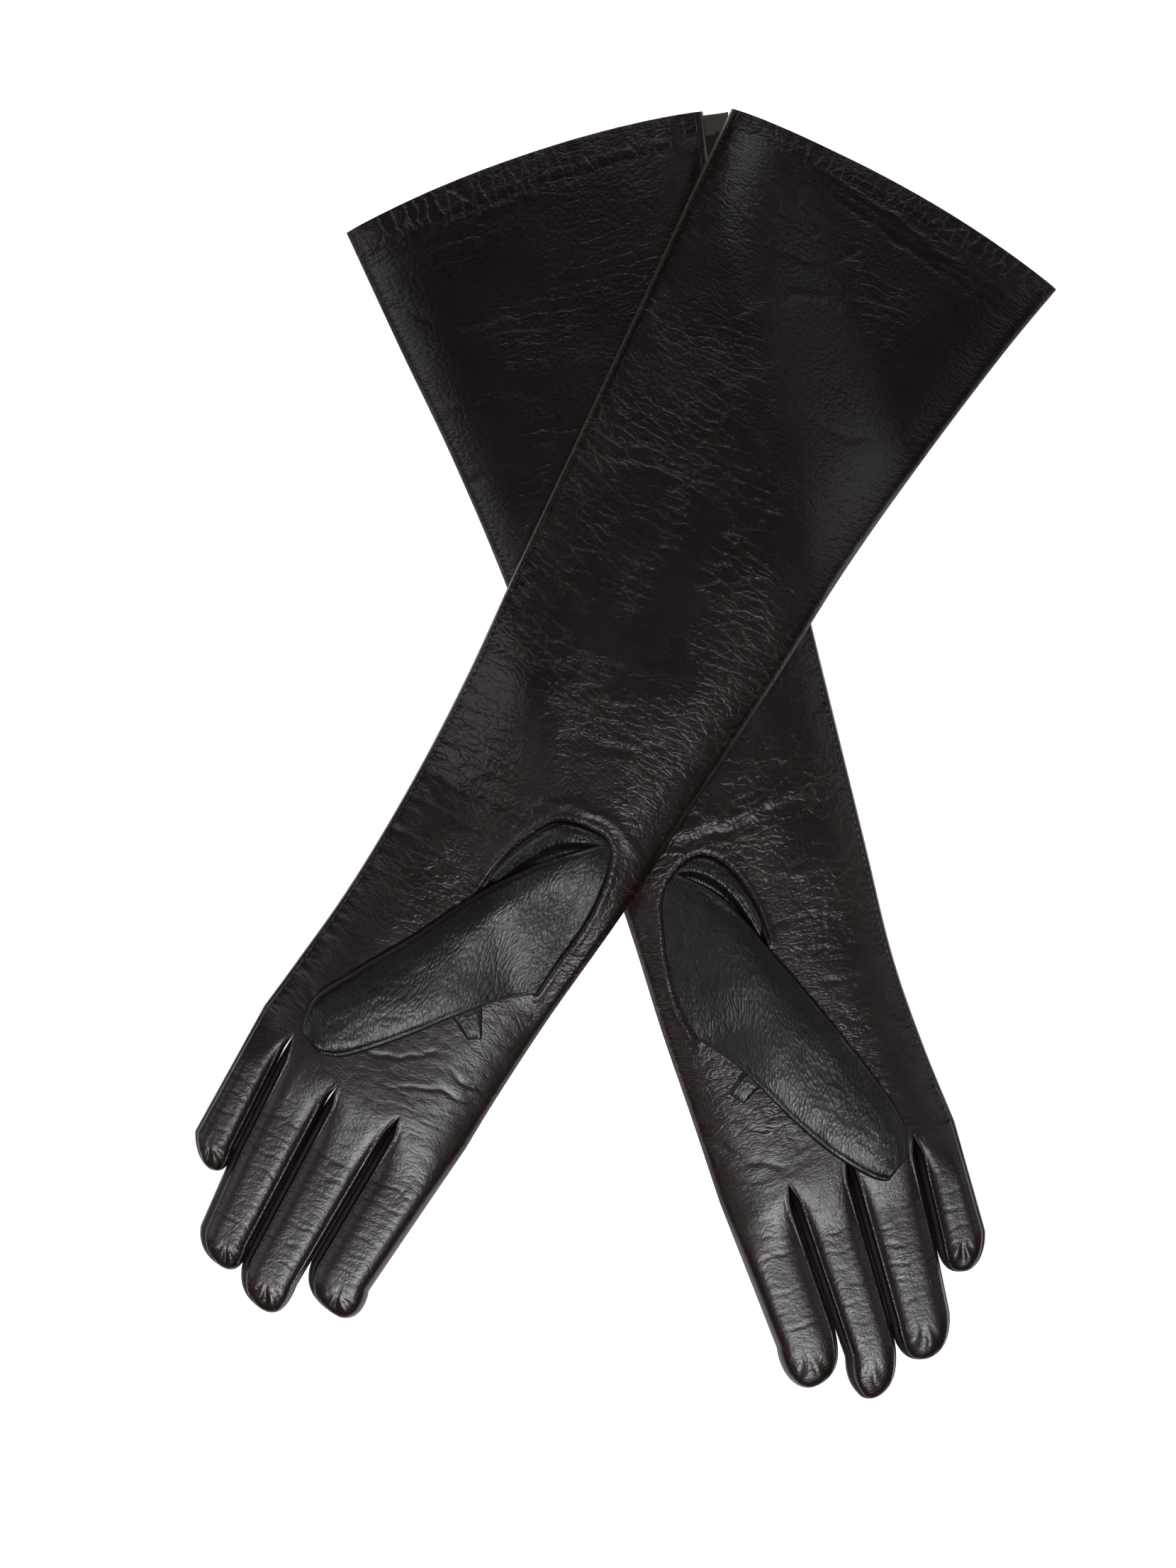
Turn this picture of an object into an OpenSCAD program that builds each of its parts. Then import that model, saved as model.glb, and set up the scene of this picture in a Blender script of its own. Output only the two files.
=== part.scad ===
// A pair of long opera gloves in soft black leather, lined with silk.
// They lie palm up, the left glove crossed over the right one, with the
// thumbs folded across the palms. The table top is the plane z = 0.

/* [Leather and lining] */
// Thickness of the glove leather
leather_t = 0.9; // [0.7:0.05:1.0]
// Thickness of the silk lining
lining_t = 0.3; // [0.2:0.05:0.35]
// Air left between two layers of the same glove
layer_gap = 0.1; // [0.08:0.01:0.12]
// Width of the hem that is turned in at the cuff
hem_w = 10; // [8:1:14]

/* [Loft of the empty gloves] */
// Height of a flattened hand and forearm
hand_h = 7.6; // [7.4:0.1:8]
// Extra height of the open mouth at the cuff
mouth_rise = 2; // [1.5:0.1:2.5]
// Height at which the left glove passes over the right one
cross_h = 8.8; // [8.6:0.1:9.6]
// Distance over which the left glove comes down to the table again
drape_run = 50; // [45:1:60]
// Height of a finger along its middle
finger_h = 5.6; // [5.2:0.1:6.2]
// Height of a finger at the seams along its sides
finger_side_h = 4.2; // [3.8:0.1:4.4]
// Thickness of the folded thumb
thumb_h = 5; // [4.4:0.1:5.6]
// Air between the palm and the thumb folded over it
thumb_gap = 0.9; // [0.8:0.1:1.4]

/* [Joints] */
// Distance from the crotch of the fingers to the knuckle that bends
knuckle_run = 25; // [24:0.5:28]
// The same distance on the little fingers
little_knuckle_run = 20; // [18:0.5:22]
// Clear gap left at a knuckle and at the root of the thumb
joint_gap = 0.4; // [0.3:0.05:0.6]

/* [Seams] */
// Diameter of the sewing thread along the seams
thread_d = 0.6; // [0.4:0.05:0.8]
// Length of the open vent at the cuff end of the side seam
vent_l = 26; // [22:1:32]

/* [Hidden] */

leather_black = "#1e1a1a";
leather_soft = "#2a2526";
silk_brown = "#4a2f22";
thread_black = "#0c0b0b";

// ---- Outlines, as points [x, y] on the table ----
// Each glove is written across its width from edge a (left) to edge b (right).
// The two edges run from the cuff to the roots of the fingers, in step, so that
// points with the same number lie on one line across the glove.
right_a = [[-98, 183], [-79, 142], [-60, 102], [-41, 57], [-21, 2], [0, -57], [13, -98], [24, -130], [34, -160]];
right_b = [[28, 226], [34, 177], [44, 134], [56, 87], [70, 30], [85, -31], [95, -72], [106, -104], [117, -131]];
left_a = [[38, 226], [26, 201], [7, 160], [-14, 115], [-36, 68], [-55, 27], [-76, -13], [-97, -48], [-116, -75],
  [-127, -90]];
left_b = [[153, 163], [134, 140], [106, 103], [77, 62], [50, 19], [25, -19], [0, -57], [-26, -94], [-45, -123],
  [-56, -141]];
// Crotches between the fingers, from edge a to edge b
right_crotch = [[58, -153], [78, -142], [102, -135]];
left_crotch = [[-116, -99], [-101, -118], [-79, -129]];
// How far the cuff edge bows outwards between its corners
cuff_bow = 5;

// Fingers: [root a, root b, tip starts a, tip starts b, tip], root points at the crotches
right_fingers = [
  [[34, -160], [58, -153], [54, -211], [77, -209], [67, -225]],
  [[58, -153], [78, -142], [79, -214], [95, -210], [88, -229]],
  [[78, -142], [102, -135], [97, -202], [115, -198], [107, -215]],
  [[102, -135], [117, -131], [112, -173], [128, -170], [121, -184]]];
left_fingers = [
  [[-127, -90], [-116, -99], [-153, -137], [-139, -140], [-146, -148]],
  [[-116, -99], [-101, -118], [-148, -172], [-133, -175], [-141, -183]],
  [[-101, -118], [-79, -129], [-135, -186], [-117, -188], [-127, -198]],
  [[-79, -129], [-56, -141], [-112, -190], [-90, -191], [-101, -200]]];

// Thumbs, across from the upper edge to the lower edge and from the root to the tip
right_thumb_a = [[18, -43], [35, -52], [54, -73], [71, -93], [86, -112], [98, -130], [100, -143]];
right_thumb_b = [[26, -102], [37, -109], [48, -119], [60, -131], [73, -142], [86, -150], [93, -152]];
left_thumb_a = [[-8, -33], [-28, -39], [-51, -50], [-74, -65], [-94, -77], [-109, -87], [-114, -99]];
left_thumb_b = [[-31, -86], [-43, -88], [-60, -94], [-74, -100], [-88, -105], [-99, -108], [-107, -107]];
// Seam round the thumb hole, from the lower end of the hinge line over the top
right_thumb_hole = [[26, -102], [20, -92], [16, -78], [14, -64], [14, -51], [19, -42], [26, -37], [34, -39],
  [41, -46], [47, -56], [51, -67]];
left_thumb_hole = [[-31, -86], [-23, -74], [-15, -63], [-9, -52], [-5, -40], [-6, -32], [-11, -28], [-23, -25],
  [-34, -31], [-43, -39], [-51, -50]];

// ---- Small helpers ----
function mix(a, b, t) = a + (b - a) * t;
function clamp01(t) = max(0, min(1, t));
function smooth(t) = let(c = clamp01(t)) c * c * (3 - 2 * c);
function unit(v) = v / norm(v);
// Smooth curve through points, u counts the points
function curve(p, u) =
  let(n = len(p) - 1, i = min(n - 1, floor(u)), t = u - i,
    p0 = p[max(0, i - 1)], p1 = p[i], p2 = p[i + 1], p3 = p[min(n, i + 2)])
  0.5 * (2 * p1 + (p2 - p0) * t + (2 * p0 - 5 * p1 + 4 * p2 - p3) * t * t
    + (3 * p1 - p0 - 3 * p2 + p3) * t * t * t);
function flip(p) = [for (q = p) [q.y, q.x]];
// Glove edges carried on along the outer fingers, for heights beyond the palm
right_a_full = concat(right_a, [right_fingers[0][2]]);
right_b_full = concat(right_b, [right_fingers[3][3]]);
left_a_full = concat(left_a, [left_fingers[0][2]]);
left_b_full = concat(left_b, [left_fingers[3][3]]);
function edge_x(e, y) = lookup(y, flip(e));

// ---- Heights ----
// Height of a flattened glove over its base, at d from the nearer edge, half wide
function loft(d, half, h) =
  let(edge = 2 * leather_t + layer_gap, lined = edge + 2 * lining_t + 2.5 * layer_gap)
  mix(edge, lined, clamp01(d / 1.6)) + (h - lined) * (1 - pow(1 - clamp01(d / half), 4));
function glove_loft(a, b, x, y) =
  let(xa = edge_x(a, y), xb = edge_x(b, y), slant = 0.88)
  loft(max(0, min(x - xa, xb - x)) * slant, (xb - xa) / 2 * slant,
    hand_h + mouth_rise * smooth((y - 140) / 70));
// Base of the left glove: over the right glove, then down to the table
function left_base(x, y) =
  let(out = max(edge_x(right_a_full, y) - x, x - edge_x(right_b_full, y)))
  cross_h * (1 - smooth(out / drape_run));
// Base and top of either glove, side 0 is the right glove and side 1 the left
function base_z(side, x, y) = side == 0 ? 0 : left_base(x, y);
function top_z(side, x, y) = side == 0
  ? glove_loft(right_a_full, right_b_full, x, y)
  : left_base(x, y) + glove_loft(left_a_full, left_b_full, x, y);
function edge_a(side) = side == 0 ? right_a : left_a;
function edge_b(side) = side == 0 ? right_b : left_b;
function crotches(side) = side == 0 ? right_crotch : left_crotch;
function fingers(side) = side == 0 ? right_fingers : left_fingers;
// Fingers are numbered from edge a; the little finger is last on the right glove
function is_little(side, k) = side == 0 ? k == 3 : k == 0;

// ---- Finger geometry ----
function root_mid(f) = (f[0] + f[1]) / 2;
function finger_dir(f) = unit(f[4] - root_mid(f));
function run_of(side, k) = is_little(side, k) ? little_knuckle_run : knuckle_run;
// Point where side line s (0 = a, 1 = b) is at distance d along the finger
function side_at(f, s, d) =
  let(u = finger_dir(f), m = root_mid(f), p = f[s], q = f[2 + s],
    dp = (p - m) * u, dq = (q - m) * u)
  mix(p, q, (d - dp) / (dq - dp));
// Row across a finger at fraction v of the way from d0 to the tip, columns t from 0 to 1
function tip_start(f) = let(u = finger_dir(f), m = root_mid(f)) min((f[2] - m) * u, (f[3] - m) * u);
function finger_row(f, d0, v, inset) =
  let(straight = 0.72, u = finger_dir(f), d1 = tip_start(f),
    a1 = side_at(f, 0, d1), b1 = side_at(f, 1, d1), mid = (a1 + b1) / 2, side = unit(b1 - a1),
    w = v < straight ? v / straight : 1,
    ang = v < straight ? 0 : 86 * (v - straight) / (1 - straight),
    a = v < straight ? side_at(f, 0, mix(d0, d1, w)) : mid + (a1 - mid) * cos(ang) + (f[4] - mid) * sin(ang),
    b = v < straight ? side_at(f, 1, mix(d0, d1, w)) : mid + (b1 - mid) * cos(ang) + (f[4] - mid) * sin(ang),
    trim = min(inset, norm(b - a) / 2 - 0.3), back = u * inset * sin(ang))
  [a + side * trim - back, b - side * trim - back];

// ---- Grid over the sleeve, the palm and the roots of the fingers ----
sleeve_rows = 24;
stub_rows = 2;
rows = sleeve_rows + stub_rows;
station_step = 45;
hem_u = hem_w / station_step;
// Widths of the four finger strips across the sleeve
right_split = [0, 0.27, 0.52, 0.78, 1];
left_split = [0, 0.22, 0.48, 0.73, 1];
outer_cols = [0, 0.07, 0.35, 0.68, 1];
inner_cols = [0, 0.25, 0.5, 0.75, 1];
lined_cols = [0.075, 0.2, 0.35, 0.68, 1];
function mirrored(c) = [for (i = [4 : -1 : 0]) 1 - c[i]];
function cols(k, lined) =
  let(o = lined ? lined_cols : outer_cols) k == 0 ? o : k == 3 ? mirrored(o) : inner_cols;
// Long line j of the glove, from the cuff to a crotch or to the end of an edge
function long_line(side, j) =
  let(a = edge_a(side), b = edge_b(side), n = len(a) - 1, c = crotches(side),
    split = side == 0 ? right_split : left_split)
  [for (i = [0 : n]) i < n ? mix(a[i], b[i], split[j]) : [a[n], c[0], c[1], c[2], b[n]][j]];
// Row positions along the sleeve: the cuff edge, the inner edge of the hem, then even steps
function row_u(side, i) =
  let(n = len(edge_a(side)) - 1) i == 0 ? 0 : mix(hem_u, n, (i - 1) / (sleeve_rows - 1));
function sleeve_xy(side, u, k, v, split_v) =
  let(p = curve(long_line(side, k), u), q = curve(long_line(side, k + 1), u),
    a = edge_a(side), b = edge_b(side), out = unit(a[0] + b[0] - a[1] - b[1]))
  mix(p, q, v) + out * cuff_bow * 4 * split_v * (1 - split_v) * smooth(1 - u);
seam_in = 1.3;
// Root part of finger k at fraction w of the way from the crotch to the knuckle
function stub_xy(side, k, w, v, extra) =
  let(f = fingers(side)[k], u = finger_dir(f), m = root_mid(f), d = run_of(side, k) - joint_gap / 2,
    a = side_at(f, 0, mix((f[0] - m) * u, d, w)), b = side_at(f, 1, mix((f[1] - m) * u, d, w)),
    across = unit(b - a), ease = min(1, 2 * w),
    in_a = k == 0 ? 0 : (seam_in + extra) * ease, in_b = k == 3 ? 0 : (seam_in + extra) * ease)
  mix(a + across * in_a, b - across * in_b, v);
function grid_xy(side, i, k, c, lined) =
  let(v = cols(k, lined)[c], split = side == 0 ? right_split : left_split)
  i <= sleeve_rows
    ? sleeve_xy(side, row_u(side, i), k, v, mix(split[k], split[k + 1], v))
    : stub_xy(side, k, (i - sleeve_rows) / stub_rows, v, lined ? 1 : 0);
// Height of a finger over the table at fraction v across it
function finger_z(k, v) =
  let(outer = 2.6, a = k == 0 ? outer : finger_side_h, b = k == 3 ? outer : finger_side_h, s = mix(a, b, v))
  s + (finger_h - s) * (1 - pow(abs(2 * v - 1), 3));
function grid_top(side, i, k, c, lined) =
  let(p = grid_xy(side, i, k, c, lined), z = top_z(side, p.x, p.y))
  i <= sleeve_rows ? z : mix(z, finger_z(k, cols(k, lined)[c]), smooth((i - sleeve_rows) / stub_rows));
// The oval hole that the thumb is sewn round, as [centre, half sizes, tilt]
right_hole = [[33, -71], [15, 31], 6];
left_hole = [[-25, -62], [15, 31], -42];
function in_hole(side, p) =
  let(h = side == 0 ? right_hole : left_hole, d = p - h[0], t = h[2],
    e = [d.x * cos(t) + d.y * sin(t), d.y * cos(t) - d.x * sin(t)])
  pow(e.x / h[1].x, 2) + pow(e.y / h[1].y, 2) < 1;

// ---- Solid builders ----
// Closed sheet between two grids of points: rows of equal length, upper and lower
module sheet(upper, lower) {
  r = len(upper);
  c = len(upper[0]);
  n = r * c;
  pts = concat([for (row = upper) each row], [for (row = lower) each row]);
  rim = concat(
    [for (j = [0 : c - 1]) j],
    [for (i = [1 : r - 1]) i * c + c - 1],
    [for (j = [c - 2 : -1 : 0]) (r - 1) * c + j],
    [for (i = [r - 2 : -1 : 1]) i * c]);
  m = len(rim);
  faces = concat(
    [for (i = [0 : r - 2], j = [0 : c - 2]) [i * c + j, i * c + j + 1, (i + 1) * c + j + 1, (i + 1) * c + j]],
    [for (i = [0 : r - 2], j = [0 : c - 2])
      [n + i * c + j, n + (i + 1) * c + j, n + (i + 1) * c + j + 1, n + i * c + j + 1]],
    [for (q = [0 : m - 1]) [rim[(q + 1) % m], rim[q], n + rim[q], n + rim[(q + 1) % m]]]);
  polyhedron(pts, faces, convexity = 8);
}
// Sheet over the whole glove, split between the fingers. drop is from the top of the
// glove down to the sheet, rise from its base up to it, and first its first row.
module glove_sheet(side, thick, drop = -1, rise = 0, lined = false, first = 0, hole = false) {
  from_top = drop >= 0;
  function z_of(i, k, c) =
    let(p = grid_xy(side, i, k, c, lined))
    from_top ? grid_top(side, i, k, c, lined) - drop : base_z(side, p.x, p.y) + rise + thick;
  per_row = 20;
  n = (rows + 1) * per_row;
  function own(i, k, c) = i * per_row + k * 5 + c;
  function id(i, k, c) = c == 0 && k > 0 && i <= sleeve_rows ? own(i, k - 1, 4) : own(i, k, c);
  function xyz(i, k, c, dz) = let(p = grid_xy(side, i, k, c, lined)) [p.x, p.y, z_of(i, k, c) + dz];
  pts = [for (dz = [0, -thick], i = [0 : rows], k = [0 : 3], c = [0 : 4]) xyz(i, k, c, dz)];
  function there(i, k, c) =
    i >= first && i < rows && k >= 0 && k <= 3
    && !(hole && in_hole(side, (grid_xy(side, i, k, c, lined) + grid_xy(side, i + 1, k, c + 1, lined)) / 2));
  function beside(i, k, c, d) =
    let(c2 = c + d, over = c2 < 0 || c2 > 3)
    over ? (i < sleeve_rows && there(i, k + d, d > 0 ? 0 : 3)) : there(i, k, c2);
  cells = [for (i = [first : rows - 1], k = [0 : 3], c = [0 : 3]) if (there(i, k, c)) [i, k, c]];
  faces = [for (q = cells)
    let(i = q[0], k = q[1], c = q[2],
      a = id(i, k, c), b = id(i, k, c + 1), d = id(i + 1, k, c + 1), e = id(i + 1, k, c))
    each concat(
      [[a, b, d, e], [n + a, n + e, n + d, n + b]],
      there(i - 1, k, c) ? [] : [[b, a, n + a, n + b]],
      there(i + 1, k, c) ? [] : [[e, d, n + d, n + e]],
      beside(i, k, c, -1) ? [] : [[a, e, n + e, n + a]],
      beside(i, k, c, 1) ? [] : [[d, b, n + b, n + d]])];
  polyhedron(pts, faces, convexity = 10);
}
// Round thread along points, with six sides
module thread(path) {
  n = len(path);
  function ring(i) =
    let(d = unit(path[min(n - 1, i + 1)] - path[max(0, i - 1)]), s = unit(cross(d, [0, 0, 1])), u = cross(s, d))
    [for (a = [0 : 60 : 300]) path[i] + (s * cos(a) + u * sin(a)) * thread_d / 2];
  pts = [for (i = [0 : n - 1]) each ring(i)];
  sides = [for (i = [0 : n - 2], j = [0 : 5])
    let(j2 = (j + 1) % 6) [i * 6 + j, (i + 1) * 6 + j, (i + 1) * 6 + j2, i * 6 + j2]];
  ends = [[for (j = [0 : 5]) j], [for (j = [5 : -1 : 0]) (n - 1) * 6 + j]];
  polyhedron(pts, concat(sides, ends), convexity = 6);
}

// ---- Glove body ----
// Outline of a flat layer of the right glove, kept in by inset at the outer edges
function flat_outline(lined, first, flare) =
  let(f = [for (k = [0 : 3], c = [0, 4]) stub_xy(0, k, 1, c / 4, (lined ? 1.6 : 0.25) - seam_in)],
    last = sleeve_rows, va = lined ? 0.075 : 0)
  concat(
    [for (i = [first : last]) grid_xy(0, i, 0, 0, lined)],
    [f[0], f[1], right_crotch[0], f[2], f[3], right_crotch[1], f[4], f[5], right_crotch[2], f[6], f[7]],
    [for (i = [last : -1 : first])
      grid_xy(0, i, 3, 4, lined) + [flare * (1 - smooth(row_u(0, i) * station_step / vent_l)), 0]],
    [for (k = [3 : -1 : 0], c = [3 : -1 : k == 0 ? 1 : 0]) grid_xy(0, first, k, c, lined)]);
module flat_layer(thick, rise, lined, first, flare) {
  translate([0, 0, rise])
    linear_extrude(thick) polygon(flat_outline(lined, first, flare));
}
lining_drop = leather_t + 2.5 * layer_gap;
module hem(side) {
  function row(i, drop) = [for (k = [0 : 3], c = [0 : k == 3 ? 4 : 3])
    let(lined = true, u = i == 0 ? 0.02 : hem_u * 0.96, split = side == 0 ? right_split : left_split,
      v = cols(k, lined)[c], p = sleeve_xy(side, u, k, v, mix(split[k], split[k + 1], v)))
    [p.x, p.y, drop >= 0 ? top_z(side, p.x, p.y) - drop : base_z(side, p.x, p.y) - drop]];
  hem_t = 0.5;
  sheet([for (i = [0, 1]) row(i, lining_drop)], [for (i = [0, 1]) row(i, lining_drop + hem_t)]);
  sheet([for (i = [0, 1]) row(i, -leather_t - 0.05 - hem_t)], [for (i = [0, 1]) row(i, -leather_t - 0.05)]);
}
// Forked gusset strips between the roots of the fingers, standing on the back
module fourchettes(side) {
  wall = 0.8;
  clear = 0.25;
  over_lining = leather_t + lining_t + 0.15;
  for (k = [0 : 2]) {
    f = fingers(side)[k];
    g = fingers(side)[k + 1];
    run_f = run_of(side, k) - joint_gap;
    run_g = run_of(side, k + 1) - joint_gap;
    sf = unit(f[1] - f[0]);
    sg = unit(g[1] - g[0]);
    start = (finger_dir(f) + finger_dir(g)) * 1.5;
    c = crotches(side)[k] + start;
    fe = side_at(f, 1, run_f);
    ge = side_at(g, 0, run_g);
    translate([0, 0, over_lining])
      linear_extrude(finger_side_h - 0.25 - over_lining)
        polygon([c - sf * (wall + clear), fe - sf * (wall + clear), fe - sf * clear, c + start * 0.7,
          ge + sg * clear, ge + sg * (wall + clear), c + sg * (wall + clear)]);
  }
}
// ---- Thumb ----
function thumb_a(side) = side == 0 ? right_thumb_a : left_thumb_a;
function thumb_b(side) = side == 0 ? right_thumb_b : left_thumb_b;
thumb_rows = 9;
thumb_cols = [0, 0.1, 0.3, 0.5, 0.7, 0.9, 1];
thumb_edge = 2 * leather_t + 0.05;
// Grid of a thumb layer at a height over the palm, kept in by a fraction of its size
function thumb_grid(side, lo, hi, inset) =
  [for (i = [0 : thumb_rows])
    let(n = len(thumb_a(side)) - 1, w = mix(inset, 1 - inset, i / thumb_rows),
      a = curve(thumb_a(side), w * n), b = curve(thumb_b(side), w * n),
      end = smooth(w / 0.12) * sqrt(1 - pow(clamp01((w - 0.8) / 0.2), 2)))
    [for (v = thumb_cols)
      let(t = mix(inset, 1 - inset, v), p = mix(a, b, t), full = 1 - pow(abs(2 * t - 1), 3))
      [p.x, p.y, top_z(side, p.x, p.y) + thumb_gap + mix(lo, hi, full * end)]]];
module thumb_front(side) {
  sheet(thumb_grid(side, thumb_edge, thumb_h, 0.01),
    thumb_grid(side, thumb_edge - leather_t, thumb_h - leather_t, 0.01));
}
module thumb_under(side) {
  sheet(thumb_grid(side, leather_t, leather_t, 0.01), thumb_grid(side, 0, 0, 0.01));
}
module thumb_lining(side) {
  top = thumb_h - leather_t - 1;
  inset = 0.13;
  sheet(thumb_grid(side, leather_t + 0.1 + lining_t, top, inset),
    thumb_grid(side, leather_t + 0.1, top - lining_t, inset));
}
// Part of the thumb leather between the hole seam and the fold, lying on the palm
function hole_seam(side) = side == 0 ? right_thumb_hole : left_thumb_hole;
module thumb_base(side) {
  s = hole_seam(side);
  a = thumb_a(side);
  b = thumb_b(side);
  lift = 0.2;
  thick = 0.4;
  function inner(i) = i <= 5 ? mix(b[0], a[0], i / 5) : curve(a, (i - 5) / 5 * 1.9);
  function row(i, z) = [for (v = [0, 0.19, 0.38])
    let(p = mix(s[i], inner(i), v)) [p.x, p.y, top_z(side, p.x, p.y) + z]];
  sheet([for (i = [1 : 9]) row(i, lift + thick)], [for (i = [1 : 9]) row(i, lift)]);
}
right_quirk = [[41, -112], [36, -121], [47, -118], [42, -125]];
left_quirk = [[-60, -96], [-56, -102], [-49, -92], [-50, -102]];
module thumb_quirk(side) {
  q = side == 0 ? right_quirk : left_quirk;
  lift = 0.1;
  thick = 0.5;
  function row(v, z) = [for (w = [0, 0.5, 1])
    let(p = mix(mix(q[0], q[2], v), mix(q[1], q[3], v), w)) [p.x, p.y, top_z(side, p.x, p.y) + z]];
  sheet([for (v = [0, 0.5, 1]) row(v, lift + thick)], [for (v = [0, 0.5, 1]) row(v, lift)]);
}
module side_seam(side) {
  e = side == 0 ? edge_b(0) : edge_a(1);
  n = len(e) - 1;
  count = 36;
  out = side == 0 ? 0.6 : -0.6;
  thread([for (i = [0 : count])
    let(p = curve(e, mix(vent_l / station_step, n - 0.1, i / count)))
    [p.x + out, p.y, base_z(side, p.x, p.y) + leather_t]]);
}
module thumb_seam(side) {
  s = hole_seam(side);
  count = 22;
  thread([for (i = [0 : count])
    let(p = curve(s, mix(1, 9, i / count))) [p.x, p.y, top_z(side, p.x, p.y) + 1.15]]);
}

// ---- Fingers ----
// Rows of a finger, straight part first, then the round tip
straight_rows = 3;
tip_rows = 4;
finger_cols = [0, 0.1, 0.3, 0.5, 0.7, 0.9, 1];
function finger_v() = concat(
  [for (i = [0 : straight_rows]) 0.72 * i / straight_rows],
  [for (i = [1 : tip_rows]) mix(0.72, 1, i / tip_rows)]);
function finger_start(side, k) = run_of(side, k) + joint_gap / 2;
function finger_grid(side, k, drop, inset) =
  let(f = fingers(side)[k], d0 = finger_start(side, k))
  [for (v = finger_v())
    let(ends = finger_row(f, d0, v, inset), ang = 86 * clamp01((v - 0.72) / 0.28), low = thumb_edge)
    [for (t = finger_cols)
      let(p = mix(ends[0], ends[1], t), z = finger_z(k, t))
      [p.x, p.y, mix(low, z, pow(cos(ang), 0.5)) - drop]]];
module finger_palm(side, k) {
  sheet(finger_grid(side, k, 0, seam_in), finger_grid(side, k, leather_t, seam_in));
}
function finger_outline(side, k, inset) =
  let(f = fingers(side)[k], d0 = finger_start(side, k), r = [for (v = finger_v()) finger_row(f, d0, v, inset)])
  concat([for (q = r) q[0]], [for (i = [len(r) - 1 : -1 : 0]) r[i][1]]);
module finger_back(side, k) {
  linear_extrude(leather_t) polygon(finger_outline(side, k, 0.25));
}
module finger_lining(side, k) {
  translate([0, 0, leather_t + 0.05])
    linear_extrude(lining_t) polygon(finger_outline(side, k, 1.6));
}
// Gusset walls of a finger on the sides that face its neighbours
module finger_fourchette(side, k) {
  f = fingers(side)[k];
  d0 = finger_start(side, k);
  wall = 0.8;
  vs = [for (v = finger_v()) if (v < 0.9) v];
  for (s = [0, 1])
    if (!(k == 0 && s == 0) && !(k == 3 && s == 1))
      translate([0, 0, leather_t + 0.05])
        linear_extrude(finger_side_h - leather_t - 1.2)
          polygon(concat([for (v = vs) finger_row(f, d0, v, 0.25)[s]],
            [for (i = [len(vs) - 1 : -1 : 0]) finger_row(f, d0, vs[i], 0.25 + wall)[s]]));
}

// ---- Named parts of the right glove ----
module right_palm() { color(leather_black) glove_sheet(0, leather_t, drop = 0, hole = true); }
module right_back() { color(leather_black) flat_layer(leather_t, 0, false, 0, 9); }
module right_palm_lining() {
  color(silk_brown) glove_sheet(0, lining_t, drop = lining_drop, lined = true, first = 1, hole = true);
}
module right_back_lining() { color(silk_brown) flat_layer(lining_t, leather_t + 0.05, true, 1, 0); }
module right_cuff_hem() { color(leather_soft) hem(0); }
module right_fourchettes() { color(leather_soft) fourchettes(0); }
module right_thumb_base() { color(leather_soft) thumb_base(0); }
module right_thumb_quirk() { color(leather_soft) thumb_quirk(0); }
module right_side_seam() { color(thread_black) side_seam(0); }
module right_thumb_seam() { color(thread_black) thumb_seam(0); }
module right_thumb_front() { color(leather_soft) thumb_front(0); }
module right_thumb_under() { color(leather_soft) thumb_under(0); }
module right_thumb_lining() { color(silk_brown) thumb_lining(0); }
// ---- Named parts of the left glove ----
module left_palm() { color(leather_black) glove_sheet(1, leather_t, drop = 0, hole = true); }
module left_back() { color(leather_black) glove_sheet(1, leather_t); }
module left_palm_lining() {
  color(silk_brown) glove_sheet(1, lining_t, drop = lining_drop, lined = true, first = 1, hole = true);
}
module left_back_lining() {
  color(silk_brown) glove_sheet(1, lining_t, rise = leather_t + 0.05, lined = true, first = 1);
}
module left_cuff_hem() { color(leather_soft) hem(1); }
module left_fourchettes() { color(leather_soft) fourchettes(1); }
module left_thumb_base() { color(leather_soft) thumb_base(1); }
module left_thumb_quirk() { color(leather_soft) thumb_quirk(1); }
module left_side_seam() { color(thread_black) side_seam(1); }
module left_thumb_seam() { color(thread_black) thumb_seam(1); }
module left_thumb_front() { color(leather_soft) thumb_front(1); }
module left_thumb_under() { color(leather_soft) thumb_under(1); }
module left_thumb_lining() { color(silk_brown) thumb_lining(1); }
// ---- Fingers of the right glove ----
module right_index_palm() { color(leather_black) finger_palm(0, 0); }
module right_index_back() { color(leather_black) finger_back(0, 0); }
module right_index_lining() { color(silk_brown) finger_lining(0, 0); }
module right_index_fourchette() { color(leather_soft) finger_fourchette(0, 0); }
module right_middle_palm() { color(leather_black) finger_palm(0, 1); }
module right_middle_back() { color(leather_black) finger_back(0, 1); }
module right_middle_lining() { color(silk_brown) finger_lining(0, 1); }
module right_middle_fourchettes() { color(leather_soft) finger_fourchette(0, 1); }
module right_ring_palm() { color(leather_black) finger_palm(0, 2); }
module right_ring_back() { color(leather_black) finger_back(0, 2); }
module right_ring_lining() { color(silk_brown) finger_lining(0, 2); }
module right_ring_fourchettes() { color(leather_soft) finger_fourchette(0, 2); }
module right_little_palm() { color(leather_black) finger_palm(0, 3); }
module right_little_back() { color(leather_black) finger_back(0, 3); }
module right_little_lining() { color(silk_brown) finger_lining(0, 3); }
module right_little_fourchette() { color(leather_soft) finger_fourchette(0, 3); }
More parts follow.
